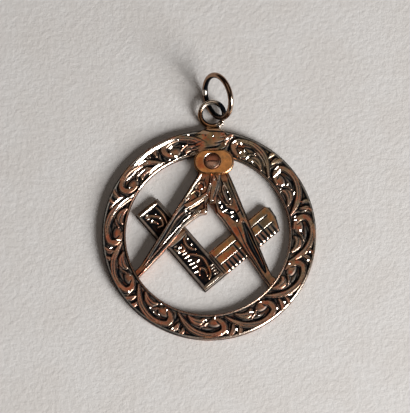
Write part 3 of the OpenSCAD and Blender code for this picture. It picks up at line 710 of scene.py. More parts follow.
def masks(relief, shape, around):
    """Where tarnish gathers in a relief and where shade is painted on it, where its crests are worn bright,
    and its painted highlights.
    """
    z = relief.z.reshape(shape)
    hollow = blurred(z, 3, around) - z
    shine = relief.shine.reshape(shape)
    soil = blurred(relief.soil.reshape(shape), 1, around)
    # Tarnish and the painted shade carried with it, and tarnish in the hollows, left off where highlights
    # are painted
    grime_and_shade = np.clip(soil + np.clip(hollow / SOILED_DEPTH, 0, 1) * 0.75, 0, 1) * (1 - shine)
    wear = blurred(np.clip(-hollow / RUBBED_HEIGHT, 0, 1), 1, around)
    return {"grime_and_shade": grime_and_shade, "wear": wear, "shine": shine, "tone": relief.tone.reshape(shape)}


def layered(bm, places, layers):
    """Moves every vertex to its place in millimetres, stores the masks on it and closes the seams."""
    keys = [bm.verts.layers.float.new(name) for name in layers]
    values = list(layers.values())
    for i, (vert, place) in enumerate(zip(bm.verts, places * MM)):
        vert.co = place
        for key, value in zip(keys, values):
            vert[key] = value[i]
    bmesh.ops.remove_doubles(bm, verts=bm.verts, dist=1e-7)


def piece(bm, name, material, slot, *nodes):
    """Makes the mesh an object that rides on the pendant in place of its solid."""
    bmesh.ops.recalc_face_normals(bm, faces=bm.faces)
    for face in bm.faces:
        face.smooth = True
    mesh = bpy.data.meshes.new(name)
    bm.to_mesh(mesh)
    bm.free()
    obj = bpy.data.objects.new(name, mesh)
    bpy.context.scene.collection.objects.link(obj)
    mesh.materials.append(material)
    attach(obj, "root")
    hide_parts(*nodes)
    return obj


def wrapped(points, steps):
    """A grid that closes on itself both ways. Gives the bmesh, and each vertex's step and profile point."""
    bm = bmesh.new()
    bmesh.ops.create_grid(bm, x_segments=points, y_segments=steps, size=1)
    co = np.array([v.co for v in bm.verts])
    point = np.round((co[:, 0] + 1) / 2 * points).astype(int) % points
    step = np.round((co[:, 1] + 1) / 2 * steps).astype(int) % steps
    return bm, step, point


def turned_layers(step, point, angle, reach, heights, z, coats, side_darkness, middle=(0, 0)):
    """Places and masks of a turned piece: its carved face first, then the plain rest of its profile."""
    last = z.shape[1] - 1
    on_face = point <= last
    column = np.minimum(point, last)
    turn = angle[step]
    x, y = middle[0] + reach * np.cos(turn), middle[1] + reach * np.sin(turn)
    places = np.stack([x, y, np.where(on_face, z[step, column], heights)], axis=1)
    layers = {title: np.where(on_face, coat[step, column], 0) for title, coat in coats.items()}
    layers["grime_and_shade"] += np.where(on_face, 0, side_darkness)
    return places, layers


def strip(rungs, pitch, columns):
    """A grid of rungs resampled at a pitch: the bmesh, each vertex's row and column, and the rungs."""
    rungs = np.array(rungs, float)
    outer = np.hypot(*np.diff(rungs[:, :2], axis=0).T)
    inner = np.hypot(*np.diff(rungs[:, 2:], axis=0).T)
    run = np.concatenate([[0], np.cumsum(np.maximum(outer, inner))])
    count = int(run[-1] / pitch)
    place = np.linspace(0, run[-1], count + 1)
    resampled = np.stack([np.interp(place, run, rungs[:, k]) for k in range(4)], axis=1)
    bm = bmesh.new()
    bmesh.ops.create_grid(bm, x_segments=columns, y_segments=count, size=1)
    co = np.array([v.co for v in bm.verts])
    column = np.round((co[:, 0] + 1) / 2 * columns).astype(int)
    row = np.round((co[:, 1] + 1) / 2 * count).astype(int)
    return bm, row, column, resampled


def section(top_columns, wall_levels, back_columns):
    """The columns round a bar's section: each one's share across, and its level from 0, the face, to 1."""
    share = list(np.linspace(0, 1, top_columns + 1))
    level = [0.0] * len(share)
    for down in wall_levels:
        share.append(1.0)
        level.append(down)
    for back in np.linspace(1, 0, back_columns + 1):
        share.append(back)
        level.append(1.0)
    for down in reversed(wall_levels):
        share.append(0.0)
        level.append(down)
    return np.array(share + [0.0]), np.array(level + [0.0])


def bar(name, rungs, pitch, top_columns, carve, back_z, material, slot, node, finish_place=None):
    """An engraved bar between two edges: its face is carved, and its back is plain."""
    share, level = section(top_columns, SIDE_LEVELS, BACK_COLUMNS)
    bm, row, column, lines = strip(rungs, pitch, len(share) - 1)
    face = np.linspace(0, 1, top_columns + 1)
    x = mix(lines[:, 0:1], lines[:, 2:3], face)
    y = mix(lines[:, 1:2], lines[:, 3:4], face)
    if finish_place:
        x, y = finish_place(x, y)
    relief, turned = carve(x.ravel(), y.ravel(), *lines_apart(x, y))
    z = relief.z.reshape(x.shape)
    coats = masks(relief, x.shape, False)
    cols = np.round(share * top_columns).astype(int)
    places_x, places_y = x[row, cols[column]], y[row, cols[column]]
    bottom = back_z(places_x, places_y)
    places_z = mix(z[row, cols[column]], bottom, level[column])
    fade = 1 - level[column]
    layers = {title: coat[row, cols[column]] * fade for title, coat in coats.items()}
    # The sides darken towards the back
    layers["grime_and_shade"] += SIDE_DARKNESS * level[column]
    if turned:
        places_x, places_y = turned(places_x, places_y)
    layered(bm, np.stack([places_x, places_y, places_z], axis=1), layers)
    ends = [e for e in bm.edges if e.is_boundary]
    bmesh.ops.edgeloop_fill(bm, edges=ends)
    return piece(bm, name, material, slot, node)


def lines_apart(x, y):
    """Distance of each point of a face from its two long edges."""
    across = np.hypot(np.diff(x, axis=1), np.diff(y, axis=1))
    from_first = np.concatenate([np.zeros((len(x), 1)), np.cumsum(across, axis=1)], axis=1)
    to_last = from_first[:, -1:] - from_first
    return from_first.ravel(), to_last.ravel()


class RingSizes(PropertyGroup):
    """Sizes of the engraved ring"""

    diameter: FloatProperty(name="Diameter", description="Outer diameter", default=0.028, unit="LENGTH")
    opening: FloatProperty(
        name="Opening", description="Diameter of the opening", default=0.0214, unit="LENGTH",
    )
    shift: FloatProperty(
        name="Shift", description="How far the opening sits left", default=0.0002, unit="LENGTH",
    )
    thickness: FloatProperty(name="Thickness", description="Thickness", default=0.0011, unit="LENGTH")
    ground: FloatProperty(name="Ground", description="Depth of the ground", default=0.0002, unit="LENGTH")
    bevel: FloatProperty(name="Bevel", description="Bevel of both edges", default=0.00012, unit="LENGTH")
    neck_from: FloatProperty(
        name="Neck from", description="Start of the plain neck", default=1.4137, unit="ROTATION",
    )
    neck_to: FloatProperty(
        name="Neck to", description="End of the plain neck", default=1.7104, unit="ROTATION",
    )
    steps: IntProperty(name="Steps", description="Steps of the spin", default=1380, min=360)
    columns: IntProperty(name="Columns", description="Columns across the face", default=60, min=20)


class BarSizes(PropertyGroup):
    """Sizes of the legs and the square"""

    left_top: FloatProperty(
        name="Left leg", description="Height of the left leg", default=0.0014, unit="LENGTH",
    )
    right_top: FloatProperty(
        name="Right leg", description="Height of the right leg", default=0.0013, unit="LENGTH",
    )
    square_top: FloatProperty(
        name="Square", description="Height of the square", default=0.00085, unit="LENGTH",
    )
    back: FloatProperty(name="Back", description="Height of the backs", default=0.0001, unit="LENGTH")
    pitch: FloatProperty(
        name="Pitch", description="Spacing of the face's points", default=0.00005, unit="LENGTH",
    )
    panel: FloatProperty(
        name="Panel", description="Depth of the sunk panels", default=0.00013, unit="LENGTH",
    )
    corner_x: FloatProperty(
        name="Corner X", description="The square's corner", default=-0.0005, unit="LENGTH",
    )
    corner_y: FloatProperty(
        name="Corner Y", description="The square's corner", default=-0.0076, unit="LENGTH",
    )
    turn: FloatProperty(
        name="Turn", description="Turn of the ruled arm", default=math.radians(40.5), unit="ROTATION",
    )


class HeadSizes(PropertyGroup):
    """Sizes of the head of the compasses and its screw"""

    length: FloatProperty(name="Length", description="Length of the head", default=0.00525, unit="LENGTH")
    width: FloatProperty(name="Width", description="Width of the head", default=0.0033, unit="LENGTH")
    top: FloatProperty(name="Top", description="Height of the head", default=0.0018, unit="LENGTH")
    at: FloatVectorProperty(
        name="Middle", description="Middle of the head", size=2, default=(0.00062, 0.00962), unit="LENGTH",
    )
    screw_at: FloatVectorProperty(
        name="Screw", description="Middle of the screw", size=2, default=(0.0004, 0.0097), unit="LENGTH",
    )
    screw: FloatProperty(
        name="Screw head", description="Diameter with its gap", default=0.0021, unit="LENGTH",
    )
    shank: FloatProperty(name="Shank", description="Diameter of the shank", default=0.0008, unit="LENGTH")
    slot: FloatProperty(name="Slot", description="Width of the slot", default=0.00022, unit="LENGTH")
    # Where the sink's wall gets a painted highlight
    crescent: FloatProperty(
        name="Crescent", description="Where the sink is bright", default=2.35, unit="ROTATION",
    )


class WireSizes(PropertyGroup):
    """Sizes of the bail loop and the jump ring"""

    bail_wire: FloatProperty(name="Bail wire", description="Thickness", default=0.00066, unit="LENGTH")
    bail_bore: FloatProperty(
        name="Bail bore", description="Inside diameter", default=0.00248, unit="LENGTH",
    )
    bail_lift: FloatProperty(
        name="Bail lift", description="Bend upwards", default=math.radians(12), unit="ROTATION",
    )
    bail_foot: FloatVectorProperty(
        name="Bail foot", description="Foot of the loop", default=(0.0004, 0.0147, 0.00055), unit="LENGTH",
    )
    solder_grain: FloatProperty(
        name="Solder", description="Grain of the fused bail", default=3.5e-5, unit="LENGTH",
    )
    jump_wire: FloatProperty(name="Jump wire", description="Thickness", default=0.00072, unit="LENGTH")
    jump_bore: FloatProperty(
        name="Jump bore", description="Inside diameter", default=0.00496, unit="LENGTH",
    )
    jump_lean: FloatProperty(
        name="Jump lean", description="Lean from flat", default=math.radians(60), unit="ROTATION",
    )
    jump_turn: FloatProperty(
        name="Jump turn", description="Turn", default=math.radians(202), unit="ROTATION",
    )


class Finish(PropertyGroup):
    """Colours of the gold, its tarnish, and the painted highlights and shade"""

    gold: FloatVectorProperty(
        name="Gold", description="Worn rose gold", subtype="COLOR", default=(0.5, 0.25, 0.14),
    )
    screw: FloatVectorProperty(
        name="Screw", description="Gold of the screw", subtype="COLOR", default=(0.66, 0.38, 0.27),
    )
    head: FloatVectorProperty(
        name="Head", description="Gold of the head", subtype="COLOR", default=(0.95, 0.42, 0.14),
    )
    wire: FloatVectorProperty(
        name="Wire", description="Gold of the wire", subtype="COLOR", default=(0.36, 0.2, 0.13),
    )
    # Near white: the colour of the painted highlights, and of the polish on worn crests
    bright: FloatVectorProperty(
        name="Bright", description="Fresh cuts", subtype="COLOR", default=(0.97, 0.86, 0.74),
    )
    square: FloatVectorProperty(
        name="Square", description="Gold of the square", subtype="COLOR", default=(0.56, 0.27, 0.1),
    )
    bail: FloatVectorProperty(
        name="Bail", description="Gold of the bail", subtype="COLOR", default=(0.52, 0.27, 0.13),
    )
    olive: FloatVectorProperty(
        name="Olive", description="Tint, top right", subtype="COLOR", default=(0.4, 0.29, 0.15),
    )
    red: FloatVectorProperty(
        name="Red", description="Tint, lower left", subtype="COLOR", default=(0.54, 0.21, 0.11),
    )
    ember: FloatVectorProperty(
        name="Ember", description="Reddest tone", subtype="COLOR", default=(0.66, 0.15, 0.06),
    )
    moss: FloatVectorProperty(
        name="Moss", description="Greenest tone", subtype="COLOR", default=(0.26, 0.2, 0.12),
    )
    # Near black: the colour of the tarnish and of the painted shade
    dirt: FloatVectorProperty(
        name="Dirt", description="Tarnish", subtype="COLOR", default=(0.003, 0.0045, 0.007),
    )


class StudioView(PropertyGroup):
    """The camera and the lights"""

    elevation: FloatProperty(
        name="Elevation", description="Of the camera", default=math.radians(77), unit="ROTATION",
    )
    distance: FloatProperty(name="Distance", description="Of the camera", default=1.0, unit="LENGTH")
    width_px: IntProperty(
        name="Width", description="Width of the photograph", default=410, subtype="PIXEL",
    )
    height_px: IntProperty(
        name="Height", description="Height of the photograph", default=413, subtype="PIXEL",
    )
    pixel: FloatProperty(
        name="Pixel", description="Size of a pixel on the ring", default=0.0001307, unit="LENGTH",
    )
    ring_px: FloatVectorProperty(
        name="Ring", description="Pixel of the ring's middle", size=2, default=(209.1, 234.4),
    )
    key_azimuth: FloatProperty(
        name="Key azimuth", description="Direction", default=math.radians(-40), unit="ROTATION",
    )
    key_elevation: FloatProperty(
        name="Key height", description="Elevation", default=math.radians(28.5), unit="ROTATION",
    )
    key_distance: FloatProperty(
        name="Key distance", description="From the middle", default=0.6, unit="LENGTH",
    )
    key_size: FloatProperty(
        name="Key size", description="Side of the key light", default=0.3, unit="LENGTH",
    )
    key_power: FloatProperty(
        name="Key power", description="Power of the key light", default=5.6, unit="POWER",
    )
    key_colour: FloatVectorProperty(
        name="Key colour", description="Sunlight", subtype="COLOR", default=(1, 0.99, 0.975),
    )
    top_distance: FloatProperty(
        name="Top distance", description="From the middle", default=0.5, unit="LENGTH",
    )
    top_size: FloatProperty(
        name="Top size", description="Side of the panel overhead", default=0.36, unit="LENGTH",
    )
    top_power: FloatProperty(
        name="Top power", description="Power of the panel overhead", default=0.19, unit="POWER",
    )
    top_colour: FloatVectorProperty(
        name="Top colour", description="Warm", subtype="COLOR", default=(1, 0.88, 0.78),
    )
    room: FloatVectorProperty(
        name="Room", description="Light of the room", subtype="COLOR", default=(0.02, 0.0165, 0.0135),
    )


GROUPS = {
    "pendant_ring": RingSizes,
    "pendant_bars": BarSizes,
    "pendant_head": HeadSizes,
    "pendant_wires": WireSizes,
    "pendant_finish": Finish,
    "pendant_studio": StudioView,
}


def node(tree, kind, inputs=None, **settings):
    """Adds a node. An input is a value, or an output to link."""
    made = tree.nodes.new(kind)
    for key, value in settings.items():
        setattr(made, key, value)
    for key, value in (inputs or {}).items():
        if isinstance(value, bpy.types.NodeSocket):
            tree.links.new(value, made.inputs[key])
        else:
            made.inputs[key].default_value = value
    return made


def arithmetic(tree, operation, a, b=0.0, clamp=False):
    return node(tree, "ShaderNodeMath", {0: a, 1: b}, operation=operation, use_clamp=clamp).outputs[0]


def blended(tree, factor, a, b, blend_type="MIX"):
    """A mix of two colours."""
    made = node(tree, "ShaderNodeMix", {"Factor": factor}, data_type="RGBA", blend_type=blend_type)
    for socket, value in ((made.inputs[6], a), (made.inputs[7], b)):
        if isinstance(value, bpy.types.NodeSocket):
            tree.links.new(value, socket)
        else:
            socket.default_value = (*value[:3], 1)
    return made.outputs[2]


def noise(tree, place, scale, detail, roughness=0.5):
    """Soft noise over a place."""
    inputs = {"Vector": place, "Scale": scale, "Detail": detail, "Roughness": roughness}
    return node(tree, "ShaderNodeTexNoise", inputs).outputs[0]


def vectors(tree, operation, a, b, output="Value"):
    """A number, or a vector, made from two vectors."""
    return node(tree, "ShaderNodeVectorMath", {0: a, 1: b}, operation=operation).outputs[output]


def ranged(tree, value, low, high, to_low=0.0, to_high=1.0, kind="SMOOTHSTEP"):
    """A value mapped from one range to another."""
    inputs = {"Value": value, "From Min": low, "From Max": high, "To Min": to_low, "To Max": to_high}
    return node(tree, "ShaderNodeMapRange", inputs, interpolation_type=kind).outputs[0]


def new_group(name, inputs, outputs):
    """A shader node group with named sockets: the group, its input node and its output node."""
    group = bpy.data.node_groups.new(name, "ShaderNodeTree")
    for title, kind, default in inputs:
        socket = group.interface.new_socket(name=title, in_out="INPUT", socket_type=kind)
        socket.default_value = (*default, 1) if kind == "NodeSocketColor" else default
    for title, kind in outputs:
        group.interface.new_socket(name=title, in_out="OUTPUT", socket_type=kind)
    return group, node(group, "NodeGroupInput"), node(group, "NodeGroupOutput")


def tarnish_group():
    """Gold that is dark where the graver cut and where shade is painted, clean on its crests, and near
    white where highlights are painted.
    """
    inputs = (
        ("Gold", "NodeSocketColor", (0.6, 0.3, 0.15)), ("Bright", "NodeSocketColor", (0.95, 0.85, 0.7)),
        ("Dirt", "NodeSocketColor", (0.01, 0.01, 0.01)), ("Grime_and_shade", "NodeSocketFloat", 0.0),
        ("Wear", "NodeSocketFloat", 0.0), ("Shine", "NodeSocketFloat", 0.0),
        ("Mottle", "NodeSocketFloat", 0.3), ("Polish", "NodeSocketFloat", 0.0),
    )
    outputs = (
        ("Color", "NodeSocketColor"), ("Roughness", "NodeSocketFloat"), ("Metallic", "NodeSocketFloat"),
        ("Height", "NodeSocketFloat"),
    )
    group, given, result = new_group("Engraved tarnish", inputs, outputs)
    gold, bright, dirt, grime_and_shade, wear, shine, mottle, polish = (given.outputs[title] for title, *_ in inputs)

    def math_node(operation, a, b, clamp=False):
        return arithmetic(group, operation, a, b, clamp)

    place = node(group, "ShaderNodeTexCoord").outputs["Object"]
    blotch = noise(group, place, 900.0, 4.0, 0.6)
    fine = noise(group, place, 4200.0, 3.0, 0.7)
    drawn = {"Vector": place, "Rotation": (0.0, 0.0, 0.7), "Scale": (1.0, 9.0, 1.0)}
    hairs = noise(group, node(group, "ShaderNodeMapping", drawn).outputs[0], 2600.0, 2.0)
    uneven = math_node("SUBTRACT", math_node("MULTIPLY", blotch, mottle), 0.15)
    darkening = ranged(group, math_node("ADD", grime_and_shade, uneven), 0.28, 0.85)
    rubbed = math_node("MULTIPLY", wear, ranged(group, fine, 0.3, 0.6, 0.5, 1.0))
    dark_gold = blended(group, 0.55, gold, dirt)
    body = blended(group, ranged(group, blotch, 0.35, 0.65, 0.0, 0.7), gold, dark_gold)
    soiled = blended(group, darkening, body, dirt)
    polished = blended(group, math_node("MULTIPLY", rubbed, 0.32), soiled, bright)
    # Painted highlights take the bright colour
    colour = blended(group, shine, polished, bright)
    base_rough = ranged(group, fine, 0.3, 0.7, 0.2, 0.34)
    rough = math_node("ADD", base_rough, math_node("MULTIPLY", darkening, 0.3))
    rough = math_node("SUBTRACT", rough, math_node("MULTIPLY", shine, 0.08), True)
    rough = math_node("SUBTRACT", rough, polish, True)
    dark_coat = math_node("MULTIPLY", darkening, math_node("SUBTRACT", 1.0, shine))
    metal = math_node("SUBTRACT", 1.0, math_node("MULTIPLY", dark_coat, 0.5))
    height = math_node("ADD", math_node("MULTIPLY", hairs, 0.5), math_node("MULTIPLY", fine, 0.5))
    for title, value in (("Color", colour), ("Roughness", rough), ("Metallic", metal), ("Height", height)):
        group.links.new(value, result.inputs[title])
    return group


def drift_group():
    """The tint of the gold by its place: olive at the upper right, redder at the lower left."""
    inputs = (
        ("Gold", "NodeSocketColor", (0.6, 0.3, 0.15)), ("Olive", "NodeSocketColor", (0.4, 0.3, 0.12)),
        ("Red", "NodeSocketColor", (0.6, 0.2, 0.1)), ("Amount", "NodeSocketFloat", 0.7),
        ("Ember", "NodeSocketColor", (0.5, 0.12, 0.05)), ("Moss", "NodeSocketColor", (0.2, 0.19, 0.09)),
        ("Tone", "NodeSocketFloat", 0.0),
    )
    group, given, result = new_group("Tint drift", inputs, (("Color", "NodeSocketColor"),))
    gold, olive, red, amount, ember, moss, tone = (given.outputs[title] for title, *_ in inputs)

    def math_node(operation, a, b):
        return arithmetic(group, operation, a, b)

    place = node(group, "ShaderNodeTexCoord").outputs["Object"]
    cloud = noise(group, place, 480.0, 3.0)
    wander = math_node("MULTIPLY", math_node("SUBTRACT", cloud, 0.5), 3.2)
    side = math_node("ADD", vectors(group, "DOT_PRODUCT", place, (45.0, 42.0, 0.0)), wander)
    tinted = blended(group, math_node("MULTIPLY", ranged(group, side, 0.3, 0.95), amount), gold, olive)
    tinted = blended(group, math_node("MULTIPLY", ranged(group, side, 0.0, -0.7), amount), tinted, red)
    flecks = ranged(group, noise(group, place, 1300.0, 3.0, 0.6), 0.36, 0.64, -0.8, 0.8, "LINEAR")
    fray = math_node("MULTIPLY", tone, ranged(group, cloud, 0.35, 0.6, 0.35, 1.1))
    fray = math_node("ADD", fray, math_node("MULTIPLY", flecks, amount))
    tinted = blended(group, ranged(group, fray, 0.05, 0.9, 0.0, 0.8), tinted, ember)
    tinted = blended(group, ranged(group, fray, -0.05, -0.9, 0.0, 0.8), tinted, moss)
    group.links.new(tinted, result.inputs["Color"])
    return group


# How a wire loop is worn and lit, in metres: its middle, radius and half thickness, the side with a painted
# highlight and the side darkened with painted shade, and a spot with a painted highlight with its reach
LoopWearAndLight = namedtuple("LoopWearAndLight", "middle radius wire rubbed soiled spark reach")


def loop_masks(tree, loop):
    """A wire loop's masks: tarnish and painted shade inside and on one side, wear outside, painted
    highlights on one side and a spot.
    """
    place = node(tree, "ShaderNodeTexCoord").outputs["Object"]
    out = vectors(tree, "DISTANCE", place, loop.middle)
    from_middle = vectors(tree, "SUBTRACT", place, loop.middle, "Vector")
    inner = ranged(tree, out, loop.radius - loop.wire * 0.05, loop.radius - loop.wire * 0.6)
    low = vectors(tree, "DOT_PRODUCT", from_middle, tuple(part / loop.radius for part in loop.soiled))
    along = vectors(tree, "DOT_PRODUCT", from_middle, tuple(part / loop.radius for part in loop.rubbed))
    near = vectors(tree, "DISTANCE", place, loop.spark)
    arc = ranged(tree, along, 0.5, 0.9, 0.0, 0.8)
    past = loop.radius + loop.wire
    return {
        "Polish": 0.1,
        "Grime_and_shade": arithmetic(tree, "MAXIMUM", inner, ranged(tree, low, 0.5, 0.95, 0.0, 0.9)),
        "Wear": ranged(tree, out, past * 1.04, past * 1.25, 0.0, 0.7),
        "Shine": arithmetic(tree, "MAXIMUM", arc, ranged(tree, near, loop.reach * 1.2, loop.reach * 0.8)),
    }


def engraved_gold(name, colour, finish, mottle=0.3, drift=0.9, relief=True, loop=None):
    """Gold for one piece. A piece with a relief reads its own masks, and a wire loop is given its wear,
    painted shade and painted highlights.
    """
    known = bpy.data.materials.get(name)
    if known:
        return known
    groups = bpy.data.node_groups
    tarnish = groups.get("Engraved tarnish") or tarnish_group()
    tint = groups.get("Tint drift") or drift_group()
    material = bpy.data.materials.new(name)
    material.use_nodes = True
    tree = material.node_tree
    shader = tree.nodes["Principled BSDF"]
    tinted = node(tree, "ShaderNodeGroup", node_tree=tint)
    tinted.inputs["Gold"].default_value = (*colour, 1)
    for title in ("Olive", "Red", "Ember", "Moss"):
        tinted.inputs[title].default_value = (*getattr(finish, title.lower()), 1)
    tinted.inputs["Amount"].default_value = drift
    inputs = {"Gold": tinted.outputs["Color"], "Mottle": mottle}
    if relief:
        tone = node(tree, "ShaderNodeAttribute", attribute_name="tone").outputs["Fac"]
        tree.links.new(tone, tinted.inputs["Tone"])
        for title in ("Grime_and_shade", "Wear", "Shine"):
            inputs[title] = node(tree, "ShaderNodeAttribute", attribute_name=title.lower()).outputs["Fac"]
    if loop:
        inputs.update(loop_masks(tree, loop))
    inputs.update(Bright=(*finish.bright, 1), Dirt=(*finish.dirt, 1))
    dressed = node(tree, "ShaderNodeGroup", node_tree=tarnish)
    for title, value in inputs.items():
        if isinstance(value, bpy.types.NodeSocket):
            tree.links.new(value, dressed.inputs[title])
        else:
            dressed.inputs[title].default_value = value
    height = {"Height": dressed.outputs["Height"], "Strength": 0.25, "Distance": 0.00001}
    bump = node(tree, "ShaderNodeBump", height)
    for title, value in (("Base Color", "Color"), ("Roughness", "Roughness"), ("Metallic", "Metallic")):
        tree.links.new(dressed.outputs[value], shader.inputs[title])
    shader.inputs["Specular IOR Level"].default_value = 0.06
    tree.links.new(bump.outputs[0], shader.inputs["Normal"])
    return material


def opening_clip(ring):
    """Keeps points inside the opening of the ring."""
    reach = ring.opening / MM / 2 - FIT_GAP
    middle = -ring.shift / MM

    def keep(x, y):
        out = np.hypot(x - middle, y)
        scale = np.where(out > reach, reach / np.maximum(out, 1e-9), 1)
        return middle + (x - middle) * scale, y * scale

    return keep


def to_square(bars):
    """Turns between the pendant's frame and the square's own."""
    c, s = math.cos(bars.turn), math.sin(bars.turn)
    corner = bars.corner_x / MM, bars.corner_y / MM

    def onto(x, y):
        x, y = x - corner[0], y - corner[1]
        return x * c + y * s, y * c - x * s

    def back(x, y):
        return corner[0] + x * c - y * s, corner[1] + x * s + y * c

    return onto, back


class PENDANT_OT_ring(Operator):
    """Makes the engraved ring"""

    bl_idname = "pendant.ring"
    bl_label = "Engraved ring"

    def execute(self, context):
        ring, finish = context.scene.pendant_ring, context.scene.pendant_finish
        outer, opening, shift = ring.diameter / MM / 2, ring.opening / MM / 2, ring.shift / MM
        top, bevel = ring.thickness / MM, ring.bevel / MM
        face = np.linspace(0, 1, ring.columns + 1)
        # Radius and height round the section: the face, the outer side, the back and the opening's side
        profile = [(mix(opening, outer, s), top) for s in face]
        profile += [(outer, top * 0.6), (outer, bevel), (outer - bevel, 0.0), (opening + bevel, 0.0),
                    (opening, bevel), (opening, top * 0.6)]
        bm, step, point = wrapped(len(profile), ring.steps)
        angle = np.arange(ring.steps) * math.tau / ring.steps
        edge = np.sqrt(opening**2 - (shift * np.sin(angle)) ** 2) - shift * np.cos(angle)
        radius = mix(edge[:, None], outer, face)
        x, y = radius * np.cos(angle)[:, None], radius * np.sin(angle)[:, None]
        from_edge, from_outer = radius - edge[:, None], outer - radius
        z, soil = self.base(ring, from_edge, from_outer, angle)
        relief = Relief(x.ravel(), y.ravel(), z.ravel())
        relief.soil = soil.ravel()
        self.engrave(relief, ring)
        self.rub(relief, from_edge, from_outer, angle)
        z = relief.z.reshape(z.shape)
        coats = masks(relief, z.shape, True)
        known = np.array(profile)
        reach = mix(edge[step], outer, (known[point, 0] - opening) / (outer - opening))
        heights = known[point, 1]
        # Painted shade on the upper half of the ring's sides
        side_darkness = SIDE_DARKNESS + RING_SIDE_SHADE * (heights > top / 2)
        layered(bm, *turned_layers(step, point, angle, reach, heights, z, coats, side_darkness))
        material = engraved_gold("Ring gold", finish.gold, finish)
        piece(bm, "engraved_ring", material, "ring_gold", "ring_frame")
        return {"FINISHED"}

    @staticmethod
    def base(ring, from_edge, from_outer, angle):
        """The turned section: bevels, a lip by the opening, a groove, the ground and the rising margin."""
        sunk = beyond(from_edge, *LIP_W) * beyond(from_outer, *RIM_W)
        groove = between(from_edge, *GROOVE_SPAN)
        hem = between(from_outer, *HEM_SPAN)
        neck = ease((angle - ring.neck_from) / NECK_SOFT + 0.5)
        neck *= ease((ring.neck_to - angle) / NECK_SOFT + 0.5)
        scrolled = 1 - neck[:, None]
        z = ring.thickness / MM - ring.ground / MM * sunk * scrolled - GROOVE_DEPTH * groove
        z -= np.clip(ring.bevel / MM - from_edge, 0, None)
        z -= np.clip(MARGIN_SLOPE[0] - from_outer, 0, None) * MARGIN_SLOPE[1] * scrolled
        lighter = 1 - 0.4 * np.exp(-(((angle - LIGHT_SOIL_AT) / 0.3) ** 2))[:, None]
        # The hem along the outer edge is painted shade
        soil = np.clip(sunk * scrolled * GROUND_SOIL * lighter + groove + hem * HEM_SHADE * scrolled, 0, 1)
        return z, soil

    @staticmethod
    def engrave(relief, ring):
        """Cuts the eleven scrolls and the bright facets."""
        outer, opening, shift = ring.diameter / MM / 2, ring.opening / MM / 2, ring.shift / MM
        top = ring.thickness / MM

        def on_ground(angle, across):
            turn = math.radians(angle)
            r = opening + SCROLL_MARGINS[0]
            low = math.sqrt(r * r - (shift * math.sin(turn)) ** 2) - shift * math.cos(turn)
            return polar(mix(low, outer - SCROLL_MARGINS[1], across), angle)

        for number, ball in enumerate(BALL_ANGLES):
            wobble = math.sin(number * 2.4) * 0.03

            def placed(rows, ball=ball, wobble=wobble):
                return [(*on_ground(ball + u, a + wobble), w) for u, a, w in rows]

            for rows in UNIT_RIDGES:
                relief.ridge(placed(rows), top - RIDGE_DROP)
            relief.dome(*on_ground(ball + BALL[0], BALL[1]), BALL[2], BALL[3], ball, top)
            for rows in UNIT_CUTS:
                relief.cut(placed(rows), gleam=0.45)
            for rows in UNIT_SCORES:
                relief.cut(placed(rows), gleam=0)

        def round_ring(rows):
            return [(*polar(radius, degrees), width) for degrees, radius, width in rows]

        for rows in NECK_SCORES:
            relief.cut(round_ring(rows), gleam=0.15)
        for rows in RING_FLASHES:
            relief.flash(round_ring(rows))
        for degrees, radius, long, wide, lean in RING_FACETS:
            relief.facet(*polar(radius, degrees), long, wide, degrees + lean)
        for degrees, radius, reach, amount in RING_TONES:
            relief.tint(*polar(radius, degrees), reach, amount)
        for degrees, radius, reach, amount in RING_STAINS:
            relief.stain(*polar(radius, degrees), reach, amount)

    @staticmethod
    def rub(relief, from_edge, from_outer, angle):
        """Paints highlights along the ring's edges on the side of the light, and paints shade on them on
        the other side.
        """
        right = np.clip(np.cos(angle) * 2 - 0.3, 0, 1)[:, None]
        lit = np.clip(np.cos(angle - math.radians(FACET_AZIMUTH)) * 3 - 1.6, 0, 1)[:, None]
        from_cuts = np.abs((angle - BRIGHT_CUTS_AT + math.pi) % math.tau - math.pi)
        plain = beyond(from_cuts, 0.3, 0.1)[:, None]
        lip = within(from_edge, *LIP_LIGHT_SPAN)
        rim = within(from_outer, *RIM_LIGHT_SPAN) * lit
        # Painted shade on the outer margin away from the light and on the opening's lip on the left
        margin = within(from_outer, *SHADED_MARGIN) * (1 - lit) * plain
        painted_shade = np.maximum(margin, lip * (1 - right) * 0.5)
        relief.soil = np.maximum(relief.soil, painted_shade.ravel() * (1 - relief.shine))
        # Painted highlights on the opening's lip on the right and on the outer edge facing the light
        bright = np.maximum(lip * right * LIP_HIGHLIGHT, rim * RIM_HIGHLIGHT)
        relief.shine = np.maximum(relief.shine, bright.ravel())


